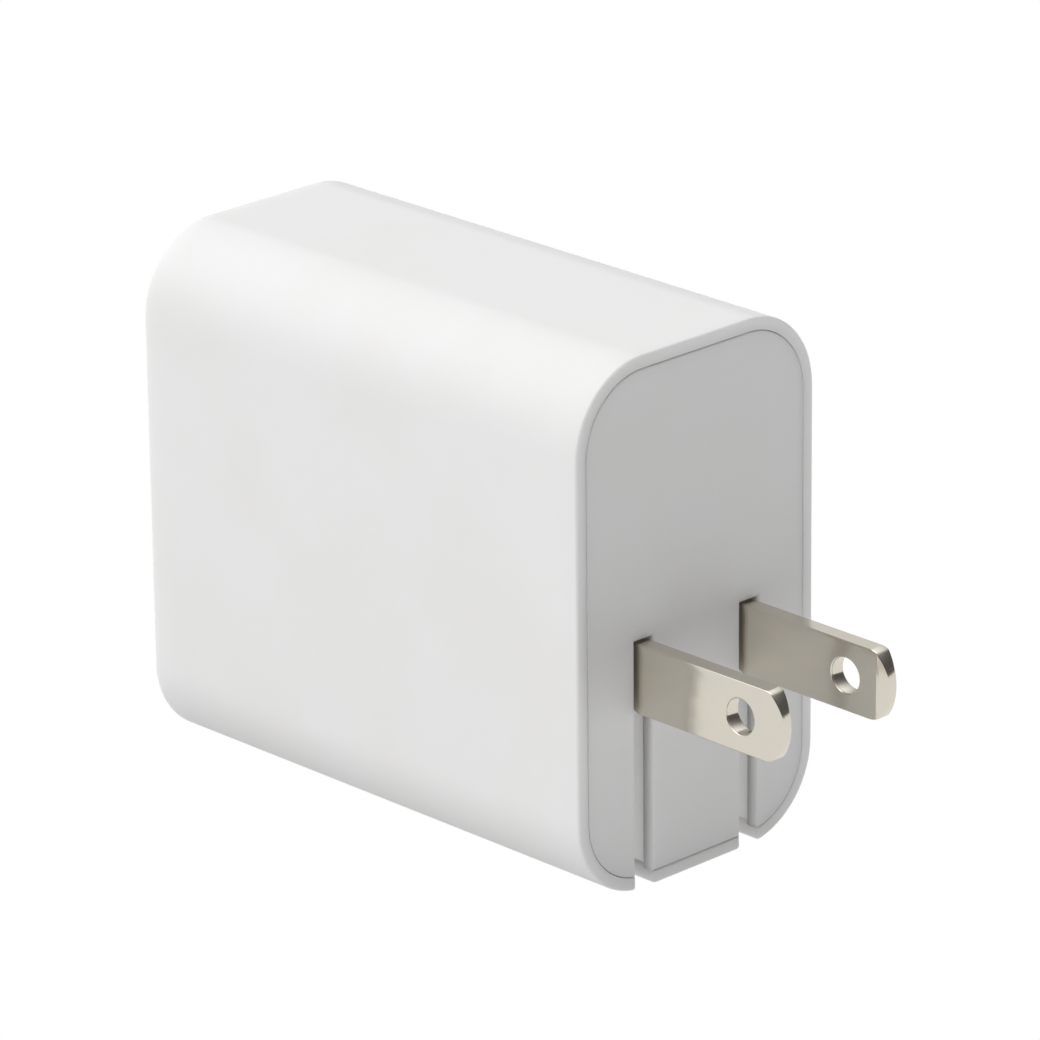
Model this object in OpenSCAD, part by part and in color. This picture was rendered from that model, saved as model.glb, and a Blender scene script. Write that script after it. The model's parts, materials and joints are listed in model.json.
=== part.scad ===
// Small mains charger with two folding blades and two sockets, in millimetres.
// The origin is the middle of the wall face, halfway between the blades. +Y points at the wall, +Z is up.

/* [Case] */
// Width of the case, across the two blades
case_w = 28.3; // [27.5:0.1:36]
// Height of the case, along the blade slots
case_h = 47.9; // [46.5:0.1:60]
// Depth of the case, from the wall face to the socket face
case_d = 53.6; // [53:0.1:70]
// Radius of the case's four long edges
case_r = 7.8; // [6.5:0.1:8]
// Height of the blades' middle line above the bottom of the case
blade_height = 19.3; // [18.8:0.1:23]
// Thickness of the sleeve's side walls
wall = 1.6; // [1.3:0.1:1.9]
// Thickness of the wall that the sockets open in
socket_wall = 1.5; // [1:0.1:2.5]
// Width of the sleeve's rim that shows round the end plate
rim_w = 1.17; // [0.9:0.01:1.25]
// Radius of the soft edge round the wall face
near_edge_r = 0.25; // [0.25:0.05:0.6]
// Radius of the soft edge round the socket face
far_edge_r = 0.25; // [0.25:0.05:1.4]
// Diameter of the pillars that back the socket board
pillar_d = 2.4; // [1.6:0.1:3]

/* [End plate] */
// Thickness of the plate that closes the sleeve
plate_t = 1.2; // [1:0.1:1.5]
// Radius of the soft edge round the plate
plate_edge_r = 0.25; // [0.25:0.05:0.4]
// Gap between the plate and the sleeve's rim
seam_gap = 0.05; // [0.04:0.01:0.2]
// Thickness of the skirt that centres the plate in the sleeve
skirt_t = 1; // [0.8:0.1:1.4]
// How far the skirt reaches in behind the plate
skirt_depth = 3.2; // [2:0.1:5]
// Gap between the skirt and the inside of the sleeve
skirt_gap = 0.12; // [0.05:0.01:0.3]
// Width of the slots that the blades fold into
slot_w = 2.1; // [1.9:0.1:2.6]
// Gap between a blade's top edge and the end of its slot
slot_top_gap = 0.2; // [0.1:0.05:1]
// Thickness of the walls of the wells behind the slots
well_wall = 0.8; // [0.6:0.1:1.1]
// Gap between a folded blade and the floor of its well
well_gap = 0.3; // [0.2:0.1:0.8]
// Diameter of the posts that press on the inlet board
post_d = 2.4; // [1.8:0.1:2.6]

/* [Blades] */
// Thickness of a blade
blade_t = 1.5; // [1.3:0.05:1.6]
// Width of a blade
blade_w = 6.35; // [6:0.05:7.6]
// Distance between the middles of the two blades
blade_pitch = 12.7; // [12.2:0.1:13.2]
// How far the blades stand out of the wall face
blade_len = 16.7; // [15.9:0.1:18.2]
// Diameter of the hole in each blade
blade_hole_d = 3.18; // [2.8:0.02:3.4]
// Distance from the wall face to the middle of that hole
blade_hole_y = 11.9; // [11.5:0.1:12.2]
// Radius of the tip's corners
tip_corner_r = 2; // [1:0.1:2.6]
// Radius of the bulge across the tip
tip_bulge_r = 4.5; // [4:0.1:9]
// Length of the slopes on both sides of the tip
tip_slope = 1.1; // [0.6:0.1:3]
// Thickness of the tip's end
tip_t = 1; // [0.5:0.05:1.2]
// Radius of the blade's round root
root_r = 2.7; // [2.4:0.1:2.8]

/* [Hinge] */
// Diameter of the axle
axle_d = 3.2; // [2.8:0.1:3.8]
// Height of the axle above the blades' middle line
axle_rise = 1.1; // [0.6:0.1:1.4]
// Gap between the axle and the back of the plate
axle_gap = 0.15; // [0.1:0.05:0.4]
// Radial gap of the axle in its saddles
bearing_gap = 0.05; // [0.02:0.01:0.1]
// Width of the square keys that the blades sit on
key_w = 2.1; // [1.8:0.05:2.2]
// Length of the axle
axle_len = 20.4; // [20:0.1:20.8]
// Width of the saddle in the middle
mid_saddle_w = 4.8; // [3:0.1:5.4]
// Width of the saddles at the ends
end_saddle_w = 2.2; // [1.6:0.1:2.3]
// Height of a saddle above and below the axle's middle
saddle_half_h = 3; // [2.4:0.1:3.2]
// Height of the bar that joins the saddles' backs
retainer_bar_h = 3.6; // [3.2:0.1:4]
// Thickness of that bar
retainer_bar_t = 2.2; // [1.6:0.1:2.4]
// Wall behind the axle in the saddles' backs
saddle_back_t = 1.25; // [0.9:0.05:1.5]
// Diameter of the retainer's screws
screw_d = 1.6; // [1.2:0.1:1.8]
// Diameter of the screws' heads
screw_head_d = 2.8; // [2.4:0.1:3.2]
// Height of the screws' heads
screw_head_h = 1; // [0.8:0.1:1.3]
// Distance between the two screws
screw_pitch = 7.2; // [6.4:0.1:7.6]

/* [Contact springs] */
// Thickness of the spring leaves
leaf_t = 0.35; // [0.2:0.05:0.5]
// Width of the spring leaves
leaf_w = 2; // [1.4:0.1:2.2]
// Gap between a leaf's contact dome and the blade root
leaf_gap = 0.12; // [0.05:0.01:0.2]
// Radius of the contact dome
dome_r = 0.5; // [0.35:0.05:0.7]

/* [Boards] */
// Thickness of the main board and the socket board
board_t = 1.2; // [0.8:0.1:1.6]
// Thickness of the inlet board
inlet_t = 1; // [0.8:0.1:1.6]
// Distance from the wall face to the inlet board
inlet_set = 9.4; // [9.2:0.1:10.5]
// Height of the inlet board
inlet_h = 19; // [17:0.5:24]
// Distance from the sleeve's inside to the back of the main board
board_stand = 1.05; // [0.8:0.05:1.5]
// Gap between the boards' edges and the inside of the sleeve
board_edge_gap = 0.25; // [0.15:0.05:0.6]
// Width of the tabs that join the boards
tab_w = 5; // [3:0.5:7]
// Gap round a tab in its slot
tab_gap = 0.1; // [0.05:0.05:0.2]
// Thickness of the insulating sheet
sheet_t = 0.25; // [0.15:0.05:0.4]

/* [Sockets] */
// Distance between the middles of the two sockets
port_pitch = 14; // [11:0.5:18]
// How far the sockets' mouths lie below the socket face
port_sink = 0.2; // [0:0.05:0.6]
// Depth of the sockets, from mouth to board
port_depth = 12.6; // [11.8:0.1:12.8]
// Gap between a socket and its hole in the case
port_gap = 0.15; // [0.05:0.05:0.3]
// Thickness of the sockets' sheet metal
shell_t = 0.3; // [0.2:0.05:0.4]
// Inside width of the small round ended socket
usb_c_w = 8.34; // [8.3:0.01:8.6]
// Inside height of the small round ended socket
usb_c_h = 2.56; // [2.5:0.01:2.7]
// Inside width of the wide flat socket
usb_a_w = 12.5; // [12.3:0.05:12.8]
// Inside height of the wide flat socket
usb_a_h = 5.12; // [5:0.02:5.3]
// Corner radius inside the wide flat socket
usb_a_r = 0.5; // [0.3:0.05:0.8]

/* [Power parts] */
// Diameter of the high voltage capacitors
bulk_d = 10; // [8:0.1:10.1]
// Length of the high voltage capacitors
bulk_len = 18; // [14:0.5:18.5]
// Height of the transformer, both core halves together
core_h = 18.6; // [15:0.1:19]
// Length of the transformer's core
core_len = 18.6; // [17:0.1:19]
// Width of the transformer's core
core_w = 15; // [13:0.1:15.4]
// Thickness of a core half's base
core_base = 3; // [2.2:0.1:3.6]
// Diameter of the core's round middle leg
core_leg_d = 7.8; // [6:0.1:8]
// Diameter of the transformer's winding
winding_d = 14.4; // [12:0.1:14.6]
// Diameter of the low voltage capacitors
out_cap_d = 6.3; // [5:0.1:6.4]
// Height of the low voltage capacitors
out_cap_h = 8; // [5:0.5:12]
// Ring radius of the choke's core
ring_r = 4.4; // [4.2:0.1:4.6]
// Thickness of the choke's core
ring_t = 3.8; // [3:0.1:4]
// Diameter of the choke's wire
wire_d = 0.7; // [0.4:0.05:0.7]
// Turns on each side of the choke
ring_turns = 7; // [3:1:7]

/* [Hidden] */
$fn = 64;
over = 1;  // how far a cutter reaches past what it cuts

// Inside of the sleeve
in_x = case_w / 2 - wall;
in_r = case_r - wall;
in_z0 = wall - blade_height;
in_z1 = case_h - blade_height - wall;
mid_z = case_h / 2 - blade_height;
in_half_h = case_h / 2 - wall;

// Half the inside height of the sleeve at a distance x from its middle
function inside_half_h(x) = let (corner = max(abs(x) - (in_x - in_r), 0))
    in_half_h - in_r + sqrt(in_r * in_r - corner * corner);

// Hinge
clear = 0.5;  // room between pieces that must not touch
axle_r = axle_d / 2;
pivot_y = -(plate_t + axle_gap + axle_r);
pivot_z = axle_rise;
saddle_r = axle_r + bearing_gap;
saddle_past = 0.4;  // how far a saddle's walls reach past the axle
saddle_lap = 0.5;  // how far the saddles reach into the retainer's bar
end_saddle_x = axle_len / 2 + saddle_past - end_saddle_w;
retainer_z0 = pivot_z + root_r + clear;
retainer_back_y = pivot_y - saddle_r - saddle_back_t;
screw_z = retainer_z0 + retainer_bar_h / 2;
screw_floor = 0.3;  // left between a screw's tip and the back of the plate
screw_tip_y = -(plate_t + screw_floor);
boss_wall = 1;
boss_d = screw_d + 2 * boss_wall;
screw_gap = 0.1;
cross_len = 1.8;  // of the cross in a screw's head
cross_w = 0.3;

// Slots and wells
blade_x = blade_pitch / 2;
slot_top = blade_w / 2 + slot_top_gap;
folded_back_y = pivot_y - pivot_z - blade_w / 2;
well_floor_y = folded_back_y - well_gap;
well_top_z = pivot_z - axle_r - saddle_past;

// Where the blade's slanted heel runs into its round root
heel_y = -pivot_y;
heel_z = -blade_w / 2 - pivot_z;
heel_angle = atan2(heel_z, heel_y) - acos(root_r / norm([heel_y, heel_z]));
heel_in = 0.05;
heel_r = root_r - heel_in;

// Contact springs
dome_angle = 140;
dome_reach = root_r + leaf_gap + dome_r;
dome_y = pivot_y + dome_reach * cos(dome_angle);
dome_z = pivot_z + dome_reach * sin(dome_angle);
leaf_bends = [3.8, 5.8, 8.8];  // heights of a leaf's two bends and its end above the dome
leaf_lean = 0.7;

// Boards
main_x0 = board_stand - in_x;
main_x1 = main_x0 + board_t;
inlet_y0 = -inlet_set;
inlet_y1 = inlet_y0 - inlet_t;
inlet_drop = 6;
inlet_z0 = pivot_z - inlet_drop;
inlet_z1 = inlet_z0 + inlet_h;
inlet_tab_z = 4.5;
tab_reach = 0.4;
main_past_inlet = 2;
main_front_y = inlet_y0 + main_past_inlet;
sheet_inset = [0.3, 0.2];  // in height and in depth
port_mouth_y = port_sink - case_d;
port_front_y = port_mouth_y + port_depth;
port_back_y = port_front_y + board_t;
main_half_h = inside_half_h(main_x0) - board_edge_gap;
main_tab_dz = 11;
post_gap = 0.2;
post_x = -main_x1 - post_gap - post_d / 2;
post_rise = 10.4;
post_z = pivot_z + post_rise;
pillar_inset = [3.6, 4.5];
pillar_x = in_x - pillar_inset[0];
pillar_dz = in_half_h - pillar_inset[1];

// Sockets
usb_c_z = mid_z + port_pitch / 2;
usb_a_z = mid_z - port_pitch / 2;
usb_c_tongue_w = 6.69;
usb_c_tongue_t = 0.6;
usb_c_tongue_len = 4.9;
usb_c_base_depth = 6.3;
usb_a_tongue_w = 11.1;
usb_a_tongue_t = 1.84;
usb_a_tongue_len = 8.2;
usb_a_base_depth = 9;
usb_a_tongue_dz = 0.97;
base_gap = 0.03;
cap_slack = 0.001;  // keeps a round end's two corners from meeting
usb_c_strip = [0.25, 4.1, 0.06];
usb_c_strip_pitch = 0.5;
usb_c_strips = 12;
usb_a_strip = [1, 7.4, 0.2];
usb_a_strip_x = [-3.5, -1, 1, 3.5];

// Parts on the main board
core_shift = [-2.5, -3.2];  // of the transformer from the middle, in depth and height
core_lift = 1;
core_y = (inlet_y1 + port_back_y) / 2 + core_shift[0];
core_z = mid_z + core_shift[1];
core_x0 = main_x1 + core_lift;
core_x1 = core_x0 + core_h;
bobbin_t = 0.7;
bobbin_gap = 0.1;
flange_t = 0.8;
flange_past = 0.2;
flange_r = winding_d / 2 + flange_past;
core_cut = 0.8;  // width of the core's open sides over that of the flange
core_gap = 0.1;
rail_w = 2;
rail_half = flange_r * core_cut - 2 * core_gap;
pin_d = 0.6;
bulk_top_gap = 1.7;
bulk_z = in_z1 - bulk_d / 2 - bulk_top_gap;
bulk_lift = 0.3;
bulk_bend = 3.8;  // room for the bent leads in front of the high voltage capacitors
bulk_front_y = inlet_y1 - bulk_bend;
bulk_lead_pitch = 5;
low_row_rise = 6.9;
low_row_z = in_z0 + low_row_rise;
strip_rise = 3.6;
strip_z = core_z + core_w / 2 + strip_rise;
strip_drop = 0.4;
out_cap_gap = [0.65, 0.05];  // behind the capacitors, and under the upper one
out_cap_y = port_back_y + out_cap_gap[0] + out_cap_d / 2;
ring_gap = 0.01;
ring_front_gap = 1.29;
ring_drop = 0.1;
ring_lift = 0.65;
ring_turn_r = ring_t / 2 + wire_d / 2 + ring_gap;
ring_y = inlet_y1 - ring_turn_r - wire_d / 2 - ring_front_gap;
ring_z = pivot_z - ring_drop;
ring_x = main_x1 + ring_r + ring_turn_r + wire_d / 2 + ring_lift;
turn_angle = 20;
ring_lead = [0.4, 0.6];  // how far a lead starts inside the ring, across and in height
groove = [2, 0.5, 0.2];  // round a high voltage capacitor: from its end, radius, how far out it sits
low_groove = [1.6, 0.4, 0.15];  // and round a low voltage one
bulk_reach = [1.4, 2.6];  // of the lower and the upper one's leads
winding_gap = 1.3;
bobbin_pins = [-4.5, -1.5, 1.5, 4.5];
bobbin_pin_dz = 0.55;
x_cap = [12, 13, 6.2];
x_cap_gap = 1.8;
x_cap_lift = 0.4;
x_cap_lead = 1.5;
y_cap_d = 6.4;
y_cap_t = 3;
y_cap_lift = 1;
y_cap_back = 1.4;
y_cap_lead = 2;
fuse = [4, 7, 8.4];
fuse_x = 8.2;
fuse_rise = 2.4;
fuse_z0 = pivot_z + fuse_rise;
chip_t = 0.9;
chip_w = 4;
chip_lead = [0.25, 0.4, 0.7];
chip_lead_out = 0.3;
bridge = [1.5, 6.5, chip_w];
bridge_y = inlet_y1 - bridge[1] / 2 - 0.85;
power_chip = [chip_t, 6, chip_w];
power_chip_y = core_y + 5.4;
opto = [2.1, 5.6, chip_w];
opto_y = core_y - 1.7;
rectifier = [chip_t, 4.6, chip_w];
rectifier_y = port_back_y + rectifier[1] / 2 + 2;
low_strip_z = strip_z - strip_drop;
upper_cap_z = low_strip_z + chip_w / 2 + chip_lead_out + chip_lead[2] / 2 + out_cap_gap[1] + out_cap_d / 2;
out_choke = [6.6, 3, 6.6];
out_choke_z = usb_a_z - 9.1;
controller = [5, chip_t, 5];
controller_z = usb_c_z + 6.9;
spreader_t = 0.5;
spreader_gap = 0.45;
spreader_x = in_x - spreader_gap - spreader_t;
spreader_low = 12;
spreader_high = 13;
spreader_set = [0.5, 2.6];  // behind the socket board, and from the inlet board
spreader_leg_w = 4;
pad_inset = [0.8, 0.6];

// ---- Shapes that are used again ----

// Draws a flat shape in X and Z, and gives it depth from y0 towards the sockets
module deep(y0, depth) translate([0, y0, 0]) rotate([90, 0, 0]) linear_extrude(depth) children();

// Draws a flat shape in Y and Z, and gives it width from x0
module wide(x0, width) translate([x0, 0, 0]) rotate([90, 0, 90]) linear_extrude(width) children();

// A box from its lowest to its highest corner
module block(low, high) translate(low) cube(high - low);

// A rod along X, and one along Y
module rod_x(x0, x1, r) translate([x0, 0, 0]) rotate([0, 90, 0]) cylinder(h = x1 - x0, r = r);
module rod_y(y0, y1, r) translate([0, y1, 0]) rotate([90, 0, 0]) cylinder(h = y1 - y0, r = r);

// A rectangle with round corners, about its own middle
module round_rect(w, h, r) {
    square([w, h - 2 * r], center = true);
    square([w - 2 * r, h], center = true);
    for (x = [-1, 1], z = [-1, 1]) translate([x * (w / 2 - r), z * (h / 2 - r)]) circle(r);
}

// Half the length section of a block: half wide, deep in +y, with its two outer corners rounded
module half_section(half, depth, near_r, far_r) {
    translate([0, near_r]) square([half, depth - near_r - far_r]);
    square([half - near_r, near_r]);
    translate([half - near_r, near_r]) circle(near_r);
    if (far_r > 0) {
        translate([0, depth - far_r]) square([half - far_r, far_r]);
        translate([half - far_r, depth - far_r]) circle(far_r);
    }
}

// The same section on both sides of the middle
module full_section(half, depth, near_r, far_r) {
    half_section(half, depth, near_r, far_r);
    mirror([1, 0]) half_section(half, depth, near_r, far_r);
}

// A block with round long edges of radius r and soft edges round both ends, from y0 towards the sockets
module soft_block(w, h, r, y0, depth, near_r, far_r) {
    translate([0, y0, mid_z]) {
        translate([0, 0, r - h / 2]) linear_extrude(h - 2 * r) mirror([0, 1])
            full_section(w / 2, depth, near_r, far_r);
        rotate([0, 90, 0]) translate([0, 0, r - w / 2]) linear_extrude(w - 2 * r) mirror([0, 1])
            full_section(h / 2, depth, near_r, far_r);
        for (x = [-1, 1], z = [-1, 1]) translate([x * (w / 2 - r), 0, z * (h / 2 - r)])
            rotate([90, 0, 0]) rotate_extrude() half_section(r, depth, near_r, far_r);
    }
}

// A strip of sheet along a path in Y and Z, round at its bends
module bent_strip(path, t) {
    for (i = [0 : len(path) - 2]) {
        step = path[i + 1] - path[i];
        translate(path[i]) rotate(atan2(step[1], step[0])) translate([0, -t / 2]) square([norm(step), t]);
    }
    for (i = [1 : len(path) - 2]) translate(path[i]) circle(t / 2);
}

// A lead that leaves along +Y, bends towards the main board and ends on it
module bent_lead(x, y0, z, reach, r) {
    bend = 3 * r;
    translate([x, 0, z]) rod_y(y0, y0 + reach - bend, r);
    translate([x - bend, y0 + reach - bend, z]) rotate_extrude(angle = 90) translate([bend, 0]) circle(r);
    translate([0, y0 + reach, z]) rod_x(main_x1, x - bend, r);
}

// A socket's sheet metal, from its mouth to the socket board
module shell(z) {
    translate([0, 0, z]) deep(port_front_y, port_depth) difference() {
        children(0);
        children(1);
    }
}

// ---- Case ----

module slot_cutter(x) {
    block([x - slot_w / 2, well_floor_y, -blade_height - over], [x + slot_w / 2, over, slot_top]);
}

module housing() {
    color("white") {
        difference() {
            soft_block(case_w, case_h, case_r, 0, case_d, near_edge_r, far_edge_r);
            translate([0, 0, mid_z]) deep(over, over + plate_t)
                round_rect(case_w - 2 * rim_w, case_h - 2 * rim_w, case_r - rim_w);
            translate([0, 0, mid_z]) deep(-plate_t + over, case_d - socket_wall - plate_t + over)
                round_rect(2 * in_x, 2 * in_half_h, in_r);
            for (x = [-blade_x, blade_x]) slot_cutter(x);
            translate([0, 0, usb_c_z]) deep(socket_wall + over - case_d, socket_wall + 2 * over) usb_c_hole();
            translate([0, 0, usb_a_z]) deep(socket_wall + over - case_d, socket_wall + 2 * over) usb_a_hole();
        }
        for (x = [-1, 1], z = [-1, 1]) translate([x * pillar_x, 0, mid_z + z * pillar_dz])
            rod_y(socket_wall - case_d, port_front_y, pillar_d / 2);
    }
}

module usb_c_hole() {
    grow = 2 * (shell_t + port_gap);
    round_rect(usb_c_w + grow, usb_c_h + grow, (usb_c_h + grow) / 2 - cap_slack);
}

module usb_a_hole() {
    grow = 2 * (shell_t + port_gap);
    round_rect(usb_a_w + grow, usb_a_h + grow, usb_a_r + shell_t + port_gap);
}

module end_cap() {
    inset = rim_w + seam_gap;
    skirt_in = wall + skirt_gap;
    color("whitesmoke") difference() {
        union() {
            soft_block(case_w - 2 * inset, case_h - 2 * inset, case_r - inset, 0, plate_t, plate_edge_r, 0);
            skirt(skirt_in);
            for (x = [-blade_x, blade_x]) well(x);
            saddles(-plate_t, pivot_y, pivot_z + saddle_half_h);
            for (x = [-1, 1]) translate([x * screw_pitch / 2, 0, screw_z]) rod_y(pivot_y, -plate_t, boss_d / 2);
            for (x = [-1, 1]) translate([x * post_x, 0, post_z]) rod_y(inlet_y0, -plate_t, post_d / 2);
        }
        for (x = [-blade_x, blade_x]) slot_cutter(x);
        axle_hole();
        for (x = [-1, 1]) translate([x * screw_pitch / 2, 0, screw_z])
            rod_y(pivot_y - over, screw_tip_y, screw_d / 2);
    }
}

module skirt(inset) {
    translate([0, 0, mid_z]) deep(-plate_t, skirt_depth) difference() {
        round_rect(case_w - 2 * inset, case_h - 2 * inset, case_r - inset);
        round_rect(case_w - 2 * (inset + skirt_t), case_h - 2 * (inset + skirt_t),
            case_r - inset - skirt_t);
    }
}

module well(x) {
    half = slot_w / 2 + well_wall;
    back_y = well_floor_y - well_wall;
    intersection() {
        block([x - half, back_y, in_z0], [x + half, -plate_t, well_top_z]);
        translate([0, 0, mid_z]) deep(0, -back_y)
            round_rect(2 * (in_x - skirt_gap), 2 * (in_half_h - skirt_gap), in_r - skirt_gap);
    }
}

// Blocks at the three places where the axle is held, from y0 back to y1
module saddles(y0, y1, top_z) {
    low_z = pivot_z - saddle_half_h;
    block([-mid_saddle_w / 2, y1, low_z], [mid_saddle_w / 2, y0, top_z]);
    for (x = [-end_saddle_x - end_saddle_w, end_saddle_x])
        block([x, y1, low_z], [x + end_saddle_w, y0, top_z]);
}

module axle_hole() {
    translate([0, pivot_y, pivot_z]) rod_x(-axle_len / 2 - over, axle_len / 2 + over, saddle_r);
}

// ---- Blades and hinge ----

// A blade's outline in Y and Z
module blade_outline() {
    difference() {
        union() {
            translate([pivot_y, pivot_z]) circle(root_r);
            polygon([[pivot_y, pivot_z],
                [pivot_y + heel_r * cos(heel_angle), pivot_z + heel_r * sin(heel_angle)],
                [0, -blade_w / 2], [0, blade_w / 2], [pivot_y, blade_w / 2]]);
            intersection() {
                translate([-tip_corner_r, 0]) blade_end();
                translate([blade_len - tip_bulge_r, 0]) circle(tip_bulge_r);
            }
            translate([0, -blade_w / 2]) square([blade_len - tip_bulge_r, blade_w]);
        }
        translate([pivot_y, pivot_z]) square(key_w, center = true);
        translate([blade_hole_y, 0]) circle(blade_hole_d / 2);
    }
}

// The shank with its two rounded corners, which the bulge then trims
module blade_end() {
    translate([0, -blade_w / 2]) square([blade_len, blade_w]);
    translate([blade_len, 0]) square([2 * tip_corner_r, blade_w - 2 * tip_corner_r], center = true);
    for (z = [-1, 1]) translate([blade_len, z * (blade_w / 2 - tip_corner_r)]) circle(tip_corner_r);
}

// A blade's outline in X and Y, which slopes on both sides of the tip and runs on past it
module blade_taper() {
    half = blade_t / 2;
    past = 0.5;
    end_half = tip_t / 2 - past * (blade_t - tip_t) / (2 * tip_slope);
    polygon([[-half, pivot_y - 2 * root_r], [half, pivot_y - 2 * root_r], [half, blade_len - tip_slope],
        [end_half, blade_len + past], [-end_half, blade_len + past], [-half, blade_len - tip_slope]]);
}

module blade(x) {
    color("lightgray") translate([x, 0, 0]) intersection() {
        wide(-blade_t, 2 * blade_t) blade_outline();
        translate([0, 0, -blade_w]) linear_extrude(2 * blade_w) blade_taper();
    }
}

module blade_left() blade(blade_x);
module blade_right() blade(-blade_x);

module blade_axle() {
    gap = blade_x - blade_t / 2;
    color("ivory") translate([0, pivot_y, pivot_z]) {
        rod_x(-gap, gap, axle_r);
        for (side = [-1, 1]) {
            outer = side * (blade_x + blade_t / 2);
            end = side * axle_len / 2;
            rod_x(min(outer, end), max(outer, end), axle_r);
            block([side * blade_x - blade_t / 2, -key_w / 2, -key_w / 2],
                [side * blade_x + blade_t / 2, key_w / 2, key_w / 2]);
        }
    }
}

module axle_retainer() {
    bar_x = end_saddle_x + end_saddle_w;
    color("gainsboro") difference() {
        union() {
            saddles(pivot_y, retainer_back_y, retainer_z0 + saddle_lap);
            block([-bar_x, pivot_y - retainer_bar_t, retainer_z0],
                [bar_x, pivot_y, retainer_z0 + retainer_bar_h]);
        }
        axle_hole();
        for (x = [-1, 1]) translate([x * screw_pitch / 2, 0, screw_z])
            rod_y(pivot_y - retainer_bar_t - over, pivot_y + over, screw_d / 2 + screw_gap);
    }
}

module retainer_screws() {
    head_y = pivot_y - retainer_bar_t;
    color("silver") for (x = [-1, 1]) translate([x * screw_pitch / 2, 0, screw_z]) difference() {
        union() {
            rod_y(head_y, screw_tip_y, screw_d / 2);
            rod_y(head_y - screw_head_h, head_y, screw_head_d / 2);
        }
        for (turn = [0, 90]) rotate([0, turn, 0])
            block([-cross_len / 2, head_y - screw_head_h - over, -cross_w / 2],
                [cross_len / 2, head_y - screw_head_h / 2, cross_w / 2]);
    }
}

// A leaf that stands on the inlet board and bears on the back of a blade's root
module contact_spring(x) {
    foot_y = inlet_y0 + leaf_t / 2;
    path = [[foot_y, dome_z + leaf_bends[2]], [foot_y, dome_z + leaf_bends[1]],
        [dome_y - leaf_lean, dome_z + leaf_bends[0]], [dome_y, dome_z]];
    color("peru") wide(x - leaf_w / 2, leaf_w) {
        bent_strip(path, leaf_t);
        translate([dome_y, dome_z]) circle(dome_r);
    }
}

module contact_spring_left() contact_spring(blade_x);
module contact_spring_right() contact_spring(-blade_x);

// ---- Boards ----

module inlet_board() {
    tab_z0 = inlet_tab_z - tab_w / 2;
    color("darkgreen") {
        block([main_x1, inlet_y1, inlet_z0], [in_x - clear, inlet_y0, inlet_z1]);
        block([main_x0 - tab_reach, inlet_y1, tab_z0], [main_x1, inlet_y0, tab_z0 + tab_w]);
    }
}

module main_board() {
    slot_z0 = inlet_tab_z - tab_w / 2 - tab_gap;
    color("green") {
        difference() {
            block([main_x0, port_back_y, mid_z - main_half_h], [main_x1, main_front_y, mid_z + main_half_h]);
            block([main_x0 - over, inlet_y1 - tab_gap, slot_z0],
                [main_x1 + over, inlet_y0 + tab_gap, slot_z0 + tab_w + 2 * tab_gap]);
        }
        for (dz = [-main_tab_dz, main_tab_dz])
            block([main_x0, port_front_y - tab_reach, mid_z + dz - tab_w / 2],
                [main_x1, port_back_y, mid_z + dz + tab_w / 2]);
    }
}

module port_board() {
    color("green") difference() {
        translate([0, 0, mid_z]) deep(port_back_y, board_t)
            round_rect(2 * (in_x - board_edge_gap), 2 * (in_half_h - board_edge_gap), in_r - board_edge_gap);
        for (dz = [-main_tab_dz, main_tab_dz])
            block([main_x0 - tab_gap, port_front_y - over, mid_z + dz - tab_w / 2 - tab_gap],
                [main_x1 + tab_gap, port_back_y + over, mid_z + dz + tab_w / 2 + tab_gap]);
    }
}

module insulating_sheet() {
    half = in_half_h - in_r - sheet_inset[0];
    color("khaki") block([-in_x, port_back_y + sheet_inset[1], mid_z - half],
        [sheet_t - in_x, main_front_y - sheet_inset[1], mid_z + half]);
}

// ---- Mains side ----

module fuse() {
    color("saddlebrown") block([fuse_x - fuse[0] / 2, inlet_y1 - fuse[1], fuse_z0],
        [fuse_x + fuse[0] / 2, inlet_y1, fuse_z0 + fuse[2]]);
}

module x_capacitor() {
    front_y = inlet_y1 - x_cap_gap;
    x0 = main_x1 + x_cap_lift;
    color("gold") {
        block([x0, front_y - x_cap[1], low_row_z - x_cap[2] / 2],
            [x0 + x_cap[0], front_y, low_row_z + x_cap[2] / 2]);
        for (dy = [x_cap_lead, x_cap[1] - x_cap_lead]) translate([0, front_y - dy, low_row_z])
            rod_x(main_x1, x0 + over, pin_d / 2);
    }
}

module choke_core() {
    color("forestgreen") translate([ring_x, ring_y, ring_z]) rotate([90, 0, 0]) rotate_extrude()
        translate([ring_r, 0]) circle(ring_t / 2);
}

module choke_winding() {
    color("chocolate") translate([ring_x, ring_y, ring_z]) for (side = [0, 180]) {
        for (i = [0 : ring_turns - 1]) rotate([0, side + (i - (ring_turns - 1) / 2) * turn_angle + 90, 0])
            translate([ring_r, 0, 0]) rotate_extrude() translate([ring_turn_r, 0]) circle(wire_d / 2);
        for (dy = [-1, 1]) translate([0, dy * ring_turn_r, (side / 90 - 1) * (ring_r - ring_lead[1])])
            rod_x(main_x1 - ring_x, -ring_r + ring_lead[0], wire_d / 2);
    }
}

// A flat package on the main board, with a row of leads on each side
module flat_chip(y, z, size, leads) {
    block([main_x1, y - size[1] / 2, z - size[2] / 2], [main_x1 + size[0], y + size[1] / 2, z + size[2] / 2]);
    for (i = [0 : leads - 1], side = [-1, 1]) {
        lead_y = y + (i - (leads - 1) / 2) * size[1] / leads;
        lead_z = z + side * (size[2] / 2 + chip_lead_out);
        block([main_x1, lead_y - chip_lead[1] / 2, lead_z - chip_lead[2] / 2],
            [main_x1 + chip_lead[0], lead_y + chip_lead[1] / 2, lead_z + chip_lead[2] / 2]);
    }
}

module bridge_rectifier() {
    color("dimgray") flat_chip(bridge_y, low_strip_z, bridge, 2);
}

module power_switch() {
    color("dimgray") flat_chip(power_chip_y, strip_z, power_chip, 6);
}

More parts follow.
